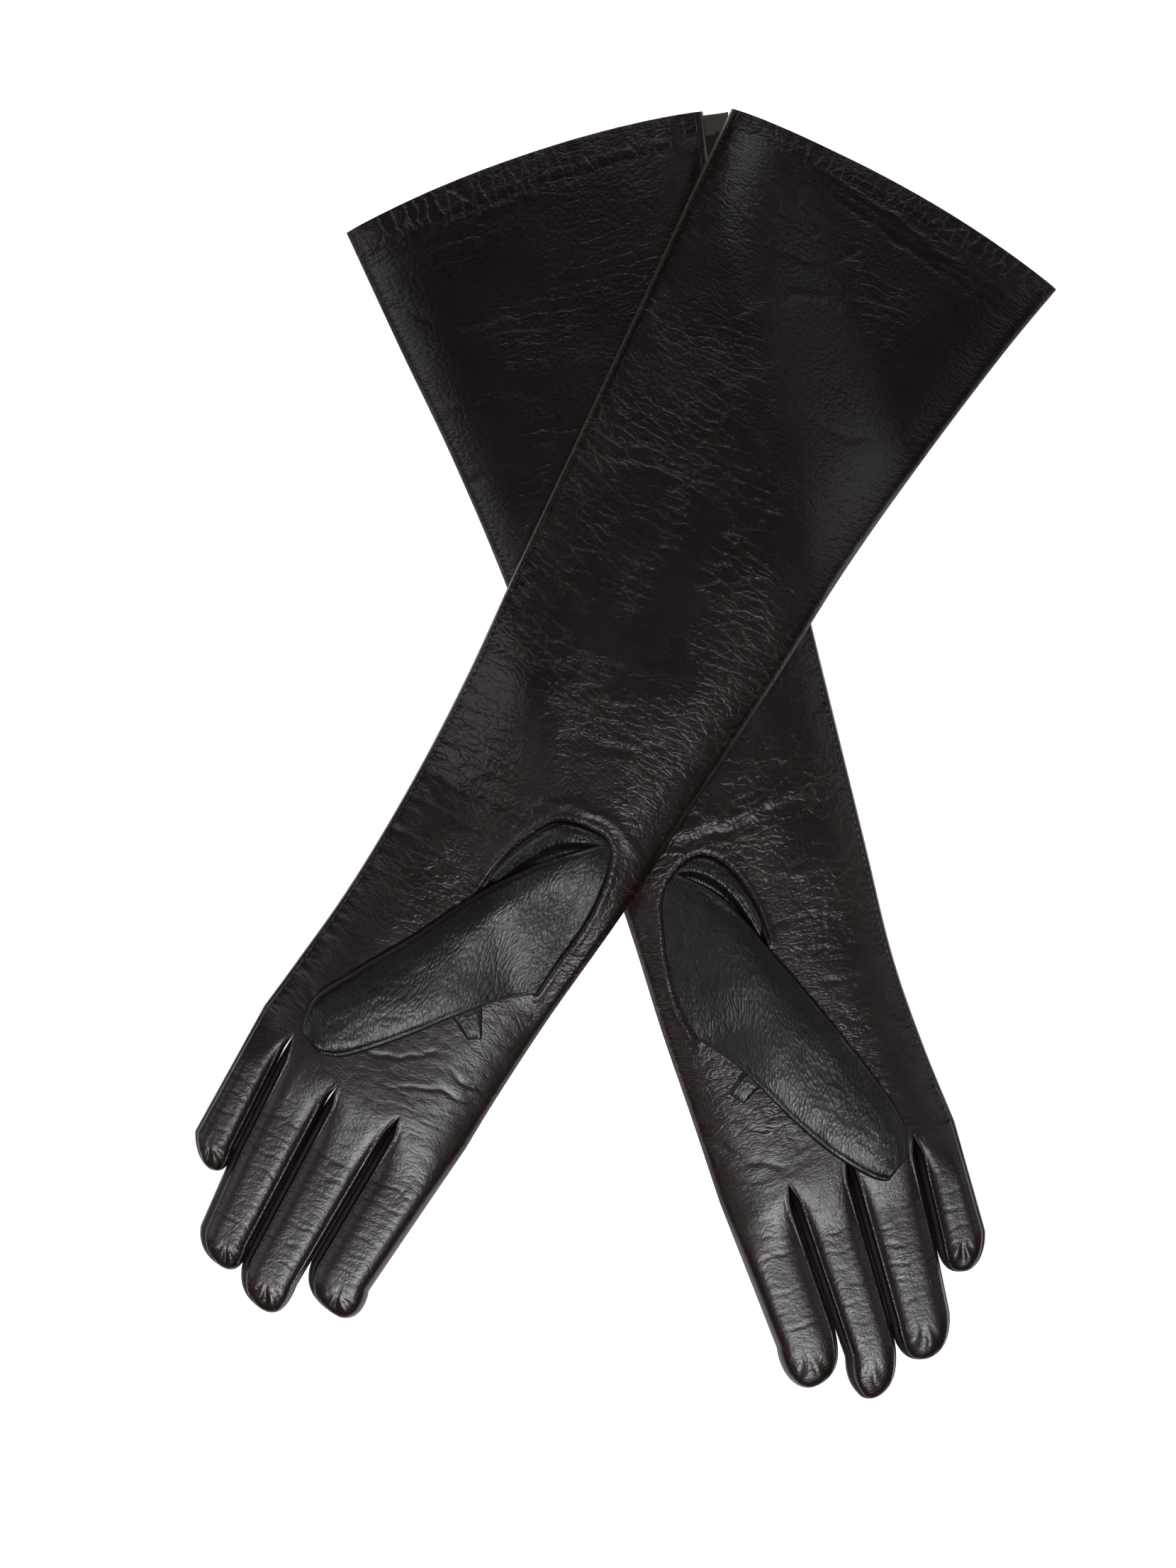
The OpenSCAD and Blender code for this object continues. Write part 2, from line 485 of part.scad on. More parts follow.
// ---- Fingers of the left glove ----
module left_little_palm() { color(leather_black) finger_palm(1, 0); }
module left_little_back() { color(leather_black) finger_back(1, 0); }
module left_little_lining() { color(silk_brown) finger_lining(1, 0); }
module left_little_fourchette() { color(leather_soft) finger_fourchette(1, 0); }
module left_ring_palm() { color(leather_black) finger_palm(1, 1); }
module left_ring_back() { color(leather_black) finger_back(1, 1); }
module left_ring_lining() { color(silk_brown) finger_lining(1, 1); }
module left_ring_fourchettes() { color(leather_soft) finger_fourchette(1, 1); }
module left_middle_palm() { color(leather_black) finger_palm(1, 2); }
module left_middle_back() { color(leather_black) finger_back(1, 2); }
module left_middle_lining() { color(silk_brown) finger_lining(1, 2); }
module left_middle_fourchettes() { color(leather_soft) finger_fourchette(1, 2); }
module left_index_palm() { color(leather_black) finger_palm(1, 3); }
module left_index_back() { color(leather_black) finger_back(1, 3); }
module left_index_lining() { color(silk_brown) finger_lining(1, 3); }
module left_index_fourchette() { color(leather_soft) finger_fourchette(1, 3); }

right_palm();
right_back();
right_palm_lining();
right_back_lining();
right_cuff_hem();
right_fourchettes();
right_thumb_base();
right_thumb_quirk();
right_side_seam();
right_thumb_seam();
right_thumb_front();
right_thumb_under();
right_thumb_lining();
right_index_palm();
right_index_back();
right_index_lining();
right_index_fourchette();
right_middle_palm();
right_middle_back();
right_middle_lining();
right_middle_fourchettes();
right_ring_palm();
right_ring_back();
right_ring_lining();
right_ring_fourchettes();
right_little_palm();
right_little_back();
right_little_lining();
right_little_fourchette();
left_palm();
left_back();
left_palm_lining();
left_back_lining();
left_cuff_hem();
left_fourchettes();
left_thumb_base();
left_thumb_quirk();
left_side_seam();
left_thumb_seam();
left_thumb_front();
left_thumb_under();
left_thumb_lining();
left_index_palm();
left_index_back();
left_index_lining();
left_index_fourchette();
left_middle_palm();
left_middle_back();
left_middle_lining();
left_middle_fourchettes();
left_ring_palm();
left_ring_back();
left_ring_lining();
left_ring_fourchettes();
left_little_palm();
left_little_back();
left_little_lining();
left_little_fourchette();
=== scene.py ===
import bpy
import numpy as np
from mathutils.kdtree import KDTree
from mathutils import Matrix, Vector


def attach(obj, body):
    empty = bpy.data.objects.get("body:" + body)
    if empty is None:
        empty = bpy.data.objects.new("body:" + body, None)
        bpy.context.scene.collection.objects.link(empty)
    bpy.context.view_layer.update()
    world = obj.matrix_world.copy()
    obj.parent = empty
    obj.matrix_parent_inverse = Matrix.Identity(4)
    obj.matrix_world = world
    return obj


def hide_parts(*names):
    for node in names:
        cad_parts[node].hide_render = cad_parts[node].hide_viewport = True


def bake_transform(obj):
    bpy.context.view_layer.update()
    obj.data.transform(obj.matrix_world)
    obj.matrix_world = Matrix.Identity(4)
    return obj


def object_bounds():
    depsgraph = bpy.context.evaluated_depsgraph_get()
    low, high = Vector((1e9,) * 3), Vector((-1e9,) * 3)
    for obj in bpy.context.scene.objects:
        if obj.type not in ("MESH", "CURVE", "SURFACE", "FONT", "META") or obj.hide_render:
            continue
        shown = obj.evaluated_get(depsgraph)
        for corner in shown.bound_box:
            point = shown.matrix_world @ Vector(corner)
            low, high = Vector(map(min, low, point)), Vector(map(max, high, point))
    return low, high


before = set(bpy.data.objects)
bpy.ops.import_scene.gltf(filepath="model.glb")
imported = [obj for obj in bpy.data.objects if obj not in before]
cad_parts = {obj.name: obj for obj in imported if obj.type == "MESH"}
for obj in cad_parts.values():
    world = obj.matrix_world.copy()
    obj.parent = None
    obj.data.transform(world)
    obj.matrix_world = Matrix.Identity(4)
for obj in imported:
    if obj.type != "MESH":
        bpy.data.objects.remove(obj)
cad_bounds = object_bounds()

# The pair on the table. Two long gloves lie palm up, the left one crossed over the right one,
# on a pale table under four soft lights. The camera looks down at them from straight above.
MM = 0.001
scene = bpy.context.scene
CAMERA_HEIGHT = 1.9
LEATHER_TOP = 0.006
FRAME_LONG_SIDE = 0.553
FRAME_CENTRE = (-0.0126, -0.0118)
SENSOR = 36.0

camera_data = bpy.data.cameras.new("overhead")
camera_data.sensor_width = SENSOR
camera_data.lens = SENSOR * (CAMERA_HEIGHT - LEATHER_TOP) / FRAME_LONG_SIDE
camera_data.clip_end = 10
camera = bpy.data.objects.new("overhead", camera_data)
camera.location = (*FRAME_CENTRE, CAMERA_HEIGHT)
scene.collection.objects.link(camera)
scene.camera = camera
scene.view_settings.view_transform = "Standard"


def softbox(name, place, size, power, aim=(0, 0, 0), spread=180):
    """A rectangular soft light; a spread below 180 degrees puts a grid in front of it."""
    data = bpy.data.lights.new(name, "AREA")
    data.spread = np.radians(spread)
    data.shape = "RECTANGLE"
    data.size, data.size_y = size
    data.energy = power
    lamp = bpy.data.objects.new(name, data)
    lamp.location = place
    away = lamp.location - type(lamp.location)(aim)
    lamp.rotation_euler = away.to_track_quat("Z", "Y").to_euler()
    scene.collection.objects.link(lamp)


softbox("front_softbox", (-0.03, -0.58, 1.3), (0.5, 0.2), 0.68, (-0.08, -0.34, 0), 40)
softbox("left_softbox", (-1.2, 0.0, 1.0), (0.5, 1.2), 3.2)
softbox("right_softbox", (1.2, 0.15, 1.0), (0.5, 1.2), 1.8)
softbox("back_softbox", (0.1, 0.85, 1.4), (0.8, 0.3), 2.7)
world = bpy.data.worlds.new("studio")
world.use_nodes = True
world.node_tree.nodes["Background"].inputs["Color"].default_value = (0.95, 0.97, 1, 1)
world.node_tree.nodes["Background"].inputs["Strength"].default_value = 0.02
scene.world = world


class Socket:
    """One output of a shader node; sums and products on it add Math nodes."""

    def __init__(self, tree, output):
        self.tree, self.output = tree, output

    def node(self, kind, settings=None, inputs=None, out=0):
        """Adds a node: its settings first, then the values or links of its sockets."""
        added = self.tree.nodes.new(kind)
        for key, value in (settings or {}).items():
            setattr(added, key, value)
        for key, value in (inputs or {}).items():
            if isinstance(value, Socket):
                self.tree.links.new(value.output, added.inputs[key])
            else:
                added.inputs[key].default_value = value
        return Socket(self.tree, added.outputs[out])

    def maths(self, operation, other, flipped=False):
        pair = (other, self) if flipped else (self, other)
        return self.node("ShaderNodeMath", {"operation": operation}, dict(enumerate(pair)))

    def __add__(self, other):
        return self.maths("ADD", other)

    def __radd__(self, other):
        return self.maths("ADD", other, True)

    def __sub__(self, other):
        return self.maths("SUBTRACT", other)

    def __rsub__(self, other):
        return self.maths("SUBTRACT", other, True)

    def __mul__(self, other):
        return self.maths("MULTIPLY", other)

    def __rmul__(self, other):
        return self.maths("MULTIPLY", other, True)

    def between(self, a, b):
        """0 below a and 1 above b, with a smooth step in between."""
        return self.node("ShaderNodeMapRange", {"interpolation_type": "SMOOTHSTEP"},
                         {"Value": self, "From Min": a, "From Max": b})

    def tint(self, dark, light):
        return self.node("ShaderNodeMix", {"data_type": "RGBA"},
                         {"Factor": self, 6: (*dark, 1), 7: (*light, 1)}, out=2)


def new_material(name):
    """An empty Principled material: the material, its shader node and a first socket, the UV map."""
    material = bpy.data.materials.new(name)
    material.use_nodes = True
    tree = material.node_tree
    shader = tree.nodes["Principled BSDF"]
    uv = Socket(tree, tree.nodes.new("ShaderNodeTexCoord").outputs["UV"])
    return material, shader, uv


def plug(shader, name, value):
    if isinstance(value, Socket):
        value.tree.links.new(value.output, shader.inputs[name])
    else:
        shader.inputs[name].default_value = value


TABLE_REACH = 30
TABLE_GAP = 0.0001
floor_mesh = bpy.data.meshes.new("table")
table_corners = [(x * TABLE_REACH, y * TABLE_REACH, 0) for x, y in ((-1, -1), (1, -1), (1, 1), (-1, 1))]
floor_mesh.from_pydata(table_corners, [], [(0, 1, 2, 3)])
floor = bpy.data.objects.new("table", floor_mesh)
floor.location.z = cad_bounds[0][2] - TABLE_GAP
scene.collection.objects.link(floor)
floor_material, floor_shader, _ = new_material("pale_table")
plug(floor_shader, "Base Color", (0.93, 0.93, 0.93, 1))
plug(floor_shader, "Roughness", 0.9)
plug(floor_shader, "Emission Color", (1, 1, 1, 1))
plug(floor_shader, "Emission Strength", 1.0)
floor_mesh.materials.append(floor_material)

# The cut of the gloves. Each trank is one skin folded along the index side; edge a is its
# left edge and edge b its right edge as it lies, from the cuff to the roots of the fingers.
# All lengths here are in millimetres, on the table.
CUT = {
    "right": {
        "a": [(-98, 183), (-79, 142), (-60, 102), (-41, 57), (-21, 2), (0, -57), (13, -98), (24, -130),
              (34, -160)],
        "b": [(28, 226), (34, 177), (44, 134), (56, 87), (70, 30), (85, -31), (95, -72), (106, -104),
              (117, -131)],
        "crotch": [(58, -153), (78, -142), (102, -135)],
        "split": (0, 0.27, 0.52, 0.78, 1),
        "names": ("index", "middle", "ring", "little"),
        "fingers": [[(34, -160), (58, -153), (54, -211), (77, -209), (67, -225)],
                    [(58, -153), (78, -142), (79, -214), (95, -210), (88, -229)],
                    [(78, -142), (102, -135), (97, -202), (115, -198), (107, -215)],
                    [(102, -135), (117, -131), (112, -173), (128, -170), (121, -184)]],
        "thumb_a": [(18, -43), (35, -52), (54, -73), (71, -93), (86, -112), (98, -130), (100, -143)],
        "thumb_b": [(26, -102), (37, -109), (48, -119), (60, -131), (73, -142), (86, -150), (93, -152)],
        "hole": [(26, -102), (20, -92), (16, -78), (14, -64), (14, -51), (19, -42), (26, -37), (34, -39),
                 (41, -46), (47, -56), (51, -67)],
        "quirk": [(44, -110), (36, -121), (50, -117), (42, -125)],
        "seam": "b",
    },
    "left": {
        "a": [(38, 226), (26, 201), (7, 160), (-14, 115), (-36, 68), (-55, 27), (-76, -13), (-97, -48),
              (-116, -75), (-127, -90)],
        "b": [(153, 163), (134, 140), (106, 103), (77, 62), (50, 19), (25, -19), (0, -57), (-26, -94),
              (-45, -123), (-56, -141)],
        "crotch": [(-116, -99), (-101, -118), (-79, -129)],
        "split": (0, 0.22, 0.48, 0.73, 1),
        "names": ("little", "ring", "middle", "index"),
        "fingers": [[(-127, -90), (-116, -99), (-153, -137), (-139, -140), (-146, -148)],
                    [(-116, -99), (-101, -118), (-148, -172), (-133, -175), (-141, -183)],
                    [(-101, -118), (-79, -129), (-135, -186), (-117, -188), (-127, -198)],
                    [(-79, -129), (-56, -141), (-112, -190), (-90, -191), (-101, -200)]],
        "thumb_a": [(-8, -33), (-28, -39), (-51, -50), (-74, -65), (-94, -77), (-109, -87), (-114, -99)],
        "thumb_b": [(-31, -86), (-43, -88), (-60, -94), (-74, -100), (-88, -105), (-99, -108), (-107, -107)],
        "hole": [(-31, -86), (-23, -74), (-15, -63), (-9, -52), (-5, -40), (-6, -32), (-11, -28), (-23, -25),
                 (-34, -31), (-43, -39), (-51, -50)],
        "quirk": [(-63, -91), (-55, -102), (-49, -87), (-50, -102)],
        "seam": "a",
    },
}
for cut in CUT.values():
    for key in ("a", "b", "crotch", "fingers", "thumb_a", "thumb_b", "hole", "quirk"):
        cut[key] = np.array(cut[key], float)
CROSS_HEIGHT = 8.8
DRAPE_RUN = 50


def mix(a, b, t):
    return a + (b - a) * t


def ease(t):
    t = np.clip(t, 0, 1)
    return t * t * (3 - 2 * t)


def rounded(distance, radius):
    """Quarter circle: 0 at an edge, 1 from the radius inwards."""
    return np.sqrt(np.clip(1 - (1 - np.clip(distance / radius, 0, 1)) ** 2, 0, 1))


def unit(v):
    return v / np.linalg.norm(v, axis=-1, keepdims=True)


def along(points, u):
    """Smooth curve through points; u counts the points and may be an array."""
    u = np.asarray(u, float)
    i = np.clip(np.floor(u).astype(int), 0, len(points) - 2)
    t = (u - i)[..., None]
    p0, p1 = points[np.maximum(i - 1, 0)], points[i]
    p2, p3 = points[i + 1], points[np.minimum(i + 2, len(points) - 1)]
    return 0.5 * (2 * p1 + (p2 - p0) * t + (2 * p0 - 5 * p1 + 4 * p2 - p3) * t ** 2
                  + (3 * p1 - p0 - 3 * p2 + p3) * t ** 3)


def edge_x(points, y):
    return np.interp(-y, -points[:, 1], points[:, 0])


def full_edges(cut):
    """Both outer edges of a trank, run on to the tips of its outer fingers."""
    return [np.vstack([cut["a"], cut["fingers"][0][2]]), np.vstack([cut["b"], cut["fingers"][3][3]])]


RIGHT_EDGES = full_edges(CUT["right"])


def base_height(side, x, y):
    """Height of a glove's underside: the left glove passes over the right one."""
    if side == "right":
        return np.zeros_like(x)
    out = np.maximum(edge_x(RIGHT_EDGES[0], y) - x, x - edge_x(RIGHT_EDGES[1], y))
    return CROSS_HEIGHT * (1 - ease(out / DRAPE_RUN))


rng = np.random.default_rng(7)
LATTICE = rng.uniform(-1, 1, (256, 256, 2))
LATTICE /= np.linalg.norm(LATTICE, axis=-1, keepdims=True)


def waves(x, y, size, seed=0):
    """Smooth gradient noise, about -0.7 to 0.7, with features of the given size."""
    px, py = x / size + 17.3 * seed, y / size + 9.1 * seed
    ix, iy = np.floor(px).astype(int), np.floor(py).astype(int)
    fx, fy = px - ix, py - iy
    ux, uy = fx ** 3 * (fx * (fx * 6 - 15) + 10), fy ** 3 * (fy * (fy * 6 - 15) + 10)

    def corner(dx, dy):
        g = LATTICE[(ix + dx) % 256, (iy + dy) % 256]
        return g[..., 0] * (fx - dx) + g[..., 1] * (fy - dy)

    return mix(mix(corner(0, 0), corner(1, 0), ux), mix(corner(0, 1), corner(1, 1), ux), uy)


def line_distance(x, y, points):
    """Distance from each place to a smooth line, and how far along it the nearest point is."""
    spans = len(points) - 1
    path = along(np.array(points, float), np.linspace(0, spans, 12 * spans + 1))
    best = np.full(x.shape, 1e9)
    where = np.zeros(x.shape)
    for i, (p, q) in enumerate(zip(path[:-1], path[1:])):
        d = q - p
        t = np.clip(((x - p[0]) * d[0] + (y - p[1]) * d[1]) / (d @ d), 0, 1)
        r = np.hypot(x - p[0] - t * d[0], y - p[1] - t * d[1])
        near = r < best
        best = np.where(near, r, best)
        where = np.where(near, (i + t) / (len(path) - 1), where)
    return best, where


def fold_line(x, y, points, width, height):
    """A soft ridge (height above 0) or a crease (below 0) along a line, fading out at its ends."""
    r, t = line_distance(x, y, points)
    return height * np.exp(-(r / width) ** 2) * np.sqrt(np.clip(np.sin(np.pi * np.clip(t, 0.02, 0.98)), 0, 1))


class Surface:
    """Grids of points in millimetres, welded where they meet so that shading runs on."""

    def __init__(self):
        self.xyz, self.uv, self.cells, self.tags, self.count = [], [], [], [], 0

    def grid(self, tag, xyz, uv, up=True):
        rows, cols = xyz.shape[:2]
        ids = self.count + np.arange(rows * cols).reshape(rows, cols)
        quads = np.stack([ids[:-1, :-1], ids[:-1, 1:], ids[1:, 1:], ids[1:, :-1]], -1).reshape(-1, 4)
        self.cells.append(quads[:, ::-1] if up else quads)
        self.xyz.append(xyz.reshape(-1, 3))
        self.uv.append(np.broadcast_to(uv, xyz.shape[:2] + (2,)).reshape(-1, 2))
        self.tags += [tag] * len(quads)
        self.count += rows * cols

    def weld(self):
        xyz, self.raw = np.vstack(self.xyz), np.vstack(self.cells)
        self.uvs, self.tags = np.vstack(self.uv), np.array(self.tags)
        _, first, index = np.unique(np.round(xyz, 3), axis=0, return_index=True, return_inverse=True)
        self.points, self.welded = xyz[first], index.reshape(-1)[self.raw]
        p = self.points[self.welded]
        across = np.cross(p[:, 2] - p[:, 0], p[:, 3] - p[:, 1])
        self.normals = np.zeros_like(self.points)
        for corner in range(4):
            np.add.at(self.normals, self.welded[:, corner], across)
        return self

    def piece(self, name, tag, material, in_cad=True):
        """The faces with one tag as an object, which takes the place of the CAD node of its name."""
        chosen = self.tags == tag
        used, local = np.unique(self.welded[chosen], return_inverse=True)
        faces, corners = [], []
        for cell, raw in zip(local.reshape(-1, 4).tolist(), self.raw[chosen].tolist()):
            kept = [j for j in range(4) if cell[j] != cell[j - 1]]
            if len(kept) > 2 and len({cell[j] for j in kept}) == len(kept):
                faces.append([cell[j] for j in kept])
                corners += [raw[j] for j in kept]
        mesh = bpy.data.meshes.new(name)
        mesh.from_pydata((self.points[used] * MM).tolist(), [], faces)
        mesh.uv_layers.new(name="map").data.foreach_set("uv", self.uvs[corners].ravel())
        mesh.materials.append(material)
        mesh.shade_smooth()
        mesh.normals_split_custom_set_from_vertices(unit(self.normals[used] + 1e-12).tolist())
        obj = bpy.data.objects.new(name, mesh)
        scene.collection.objects.link(obj)
        if in_cad:
            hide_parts(name)
        return obj


# Black glove leather. Thin dressed lambskin: a fine pebbled grain, a net of creases that runs
# mostly across the arm, a soft waxy sheen and a paler raw cut edge. Painted light: the crease
# lines are painted paler as a painted highlight on their crests, and the grain is painted darker
# in its grooves and lighter on its tops as painted shade and highlight.
BUMP_DEPTH = 0.00013
HEM_END = (7, 20)
FINGER_START = (300, 350)
CUT_EDGE = (103.9, 104.5)
CUT_EDGE_COLOUR = (0.12, 0.10, 0.09, 1)


def leather(name, grain, crease, rough, tone):
    """The map's x runs across the skin and its y from the cuff to the finger tips, in millimetres."""
    material, shader, uv = new_material(name)
    across = uv.node("ShaderNodeSeparateXYZ", inputs={0: uv})
    down = uv.node("ShaderNodeSeparateXYZ", inputs={0: uv}, out=1)

    def mottle(scale, detail, out=0):
        return uv.node("ShaderNodeTexNoise", {"noise_dimensions": "2D"},
                       {"Vector": uv, "Scale": scale, "Detail": detail}, out)

    def moved(start, stretch, shift):
        return uv.node("ShaderNodeVectorMath", {"operation": "MULTIPLY_ADD"},
                       {0: start, 1: stretch, 2: shift})

    bent = moved(mottle(0.16, 3.0, out=1), (3, 3, 0), uv)

    def net(stretch, size, seed, width):
        """Creases as a net of lines: 0 on a line, 1 on the skin between the lines."""
        cells = uv.node("ShaderNodeTexVoronoi", {"voronoi_dimensions": "2D", "feature": "DISTANCE_TO_EDGE"},
                        {"Vector": moved(bent, stretch, (seed, seed * 0.7, 0)), "Scale": 1 / size,
                         "Randomness": 1.0})
        return cells.between(0.0, width)

    coarse = net((0.34, 1, 0), 4.2, 3.0, 0.11)
    medium = net((0.42, 1, 0), 2.3, 11.0, 0.16)
    crinkle = net((1, 0.2, 0), 3.6, 47.0, 0.12)
    pebble = uv.node("ShaderNodeTexVoronoi", {"voronoi_dimensions": "2D", "feature": "F1"},
                     {"Vector": moved(bent, (0.7, 1, 0), (31, 5, 0)), "Scale": 0.8, "Randomness": 0.85})
    grit = mottle(0.9, 2.0)
    cloud = mottle(0.045, 4.0)
    at_hem = 1 - down.between(*HEM_END)
    on_finger = down.between(*FINGER_START)
    presence = mottle(0.035, 2.0).between(0.30, 0.66) * (0.5 + 0.5 * down.between(40, 190))
    presence = presence * (1 - 0.75 * on_finger)
    net_height = ((coarse * 0.55 + medium * 0.3) * presence + crinkle * at_hem * 0.8) * crease
    height = net_height + (grit * 0.2 - pebble * 0.4) * (grain - 0.45 * grain * on_finger)
    # lines marks where the colour is painted paler: a painted highlight along the crease lines and hem
    # crinkles.
    lines = ((1 - coarse) * 0.75 + (1 - medium) * 0.35) * presence + (1 - crinkle) * at_hem
    # The pebble term paints the grain darker in its grooves and lighter on its tops: painted shade and
    # highlight.
    shade = cloud * 0.35 + grit * 0.25 + lines * 0.55 * crease - pebble * 0.3 * grain + 0.15
    dark, light = (np.array(tone) * k for k in (0.7, 3.8))
    face = shade.between(0.2, 1.5).tint(dark, light)
    cut_edge = across.between(*CUT_EDGE) * (1 - on_finger)
    plug(shader, "Base Color", uv.node("ShaderNodeMix", {"data_type": "RGBA"},
                                       {"Factor": cut_edge, 6: face, 7: CUT_EDGE_COLOUR}, out=2))
    plug(shader, "Roughness", rough + cloud * 0.10 + grit * 0.06)
    plug(shader, "Normal", uv.node("ShaderNodeBump",
                                   inputs={"Height": height, "Strength": 1.0, "Distance": BUMP_DEPTH}))
    plug(shader, "Specular IOR Level", 0.5)
    return material


BLACK_LEATHER = leather("black_leather", 1.2, 1.2, 0.24, (0.0185, 0.0072, 0.0066))
THUMB_LEATHER = leather("thumb_leather", 1.7, 0.2, 0.25, (0.0100, 0.0052, 0.0048))
GUSSET_LEATHER = leather("gusset_leather", 0.9, 0.6, 0.42, (0.0120, 0.0074, 0.0068))

# Lining and thread. The lining is a brown silk twill with fine diagonal ribs and slubs;
# the thread is a two-ply glazed black cotton, painted lighter along its plies as a painted highlight.
SILK, silk_shader, silk_uv = new_material("silk_lining")
ribs = silk_uv.node("ShaderNodeTexWave", {"bands_direction": "DIAGONAL"},
                    {"Vector": silk_uv, "Scale": 0.9, "Distortion": 0.6, "Detail": 1.0})
slubs = silk_uv.node("ShaderNodeTexNoise", {"noise_dimensions": "2D"},
                     {"Vector": silk_uv, "Scale": 0.25, "Detail": 4.0})
weave = ribs * 0.35 + slubs * 0.65
plug(silk_shader, "Base Color", weave.tint((0.016, 0.008, 0.006), (0.052, 0.026, 0.018)))
plug(silk_shader, "Roughness", 0.42 + slubs * 0.2)
plug(silk_shader, "Normal", silk_uv.node("ShaderNodeBump", inputs={"Height": ribs, "Distance": 0.00008}))
plug(silk_shader, "Sheen Weight", 0.25)
THREAD, thread_shader, thread_uv = new_material("black_thread")
ply = thread_uv.node("ShaderNodeTexWave", {"bands_direction": "DIAGONAL"},
                     {"Vector": thread_uv, "Scale": 1.6})
# The pale bands along the plies are a painted highlight on the black thread.
plug(thread_shader, "Base Color", ply.tint((0.030, 0.027, 0.025), (0.130, 0.120, 0.112)))
plug(thread_shader, "Roughness", 0.32 + ply * 0.1)
plug(thread_shader, "Normal", thread_uv.node("ShaderNodeBump", inputs={"Height": ply, "Distance": 0.0001}))

# Palms, backs and fingers. Each trank is one grid of four strips that part between the
# fingers; the leather is drawn over the hand's shape and then creased and puckered.
HAND_HEIGHT = 7.4
MOUTH_RISE = 1.8
FINGER_HEIGHT = 5.8
FINGER_SIDE = 4.0
OUTER_SIDE = 2.6
FOLD_MIDDLE = 1.25
FOLD_ROUND = 2.6
SEAM_ROUND = 0.6
SEAM_INSET = 1.65
CUFF_BOW = 5
STATION = 45
HEM = 10
ROW = 1.15
HALF = 12.0
TRANK_WIDTH = 105
KNUCKLE_ROOM = 10.0
KNUCKLE_END = 12.0
KNUCKLE_HEIGHT = 0.0057
FOLD_COLS = np.append(FOLD_ROUND * (1 - np.cos(np.radians([0, 18, 36, 54, 72, 90]))),
                      np.arange(3.4, HALF, 1.0))
SEAM_COLS = np.append([0, 0.25, 0.6, 0.95, 1.3, 1.65, 2.0, 2.45, 3.1], np.arange(4.0, HALF, 1.0))
INNER_COLS = np.append([0, 0.3, 0.6, 0.95, 1.4, 2.1], np.arange(3.0, HALF, 1.0))


def strip_kinds(cut, k):
    """What the left and right edge of strip k are: a seam, a fold or an inner finger seam."""
    kinds = ["inner", "inner"]
    if k == 0:
        kinds[0] = "seam" if cut["seam"] == "a" else "fold"
    if k == 3:
        kinds[1] = "seam" if cut["seam"] == "b" else "fold"
    return kinds


def strip_cols(cut, k):
    """Column places across strip k, 0 to 1, denser at its edges."""
    places = {"fold": FOLD_COLS, "seam": SEAM_COLS, "inner": INNER_COLS}
    left, right = (places[kind] for kind in strip_kinds(cut, k))
    return np.concatenate([left, [HALF], 2 * HALF - right[::-1]]) / (2 * HALF)


def every_second(count):
    """Indices of every second column, always with the last one."""
    return np.unique(np.append(np.arange(0, count, 2), count - 1))


def pair_map(shape, u, v):
    """A texture map of one shape out of its two coordinates."""
    return np.dstack([np.broadcast_to(u, shape), np.broadcast_to(v, shape)])


def side_by_side(strips, i):
    """Item i of the four strips as one grid, in which neighbours share a column."""
    return np.concatenate([strip[i][:, min(k, 1):] for k, strip in enumerate(strips)], axis=1)


def long_line(cut, j):
    """Line j of the five that run down the trank between its strips."""
    line = mix(cut["a"], cut["b"], cut["split"][j])
    line[-1] = [cut["a"][-1], *cut["crotch"], cut["b"][-1]][j]
    return line


def sleeve_xy(cut, u, k, v):
    """Places on strip k of the sleeve; its cuff bows outwards."""
    p, q = along(long_line(cut, k), u), along(long_line(cut, k + 1), u)
    s = mix(cut["split"][k], cut["split"][k + 1], v)
    out = unit(cut["a"][0] + cut["b"][0] - cut["a"][1] - cut["b"][1])
    return mix(p, q, v[..., None]) + out * (CUFF_BOW * 4 * s * (1 - s) * ease(1 - u))[..., None]


def loft(d, half, h):
    """Height of a flattened skin d in from its edge; half is half its width and h its height."""
    edge, lined, rise = 1.9, 2.6, 1.6
    return mix(edge, lined, np.clip(d / rise, 0, 1)) + (h - lined) * (1 - (1 - np.clip(d / half, 0, 1)) ** 4)


def glove_height(side, x, y):
    """Height of the glove's smooth upper face over the table."""
    ea, eb = full_edges(CUT[side])
    xa, xb = edge_x(ea, y), edge_x(eb, y)
    d = np.clip(np.minimum(x - xa, xb - x), 0, None) * 0.88
    height = HAND_HEIGHT + MOUTH_RISE * ease((y - 140) / 70)
    return base_height(side, x, y) + loft(d, (xb - xa) * 0.44, height)


def finger_axis(f):
    middle = (f[0] + f[1]) / 2
    return middle, unit(f[4] - middle)


def straight_run(f):
    """How far the finger's sides run before its tip turns in."""
    middle, u = finger_axis(f)
    return min((f[2] - middle) @ u, (f[3] - middle) @ u)


def knuckle(side, k):
    """Distance of the knuckle from the finger's root; the little finger is shorter."""
    return 20 if (k == 3 if side == "right" else k == 0) else 25


def side_at(f, s, d):
    """Places on side s of a finger at distance d."""
    middle, u = finger_axis(f)
    p, q = f[s], f[2 + s]
    dp, dq = (p - middle) @ u, (q - middle) @ u
    return p + (q - p) * ((np.asarray(d) - dp) / (dq - dp))[..., None]


def finger_frame(f, turn, d):
    """Ends of rows across a finger: at distance d while turn is 0, then round the tip to 90 degrees."""
    d1 = straight_run(f)
    a, b = side_at(f, 0, np.minimum(d, d1)), side_at(f, 1, np.minimum(d, d1))
    mid = (a + b) / 2
    c, s = np.cos(turn)[:, None], np.sin(turn)[:, None]
    tip = (f[4] - mid) * s
    return mid + (a - mid) * c + tip, mid + (b - mid) * c + tip


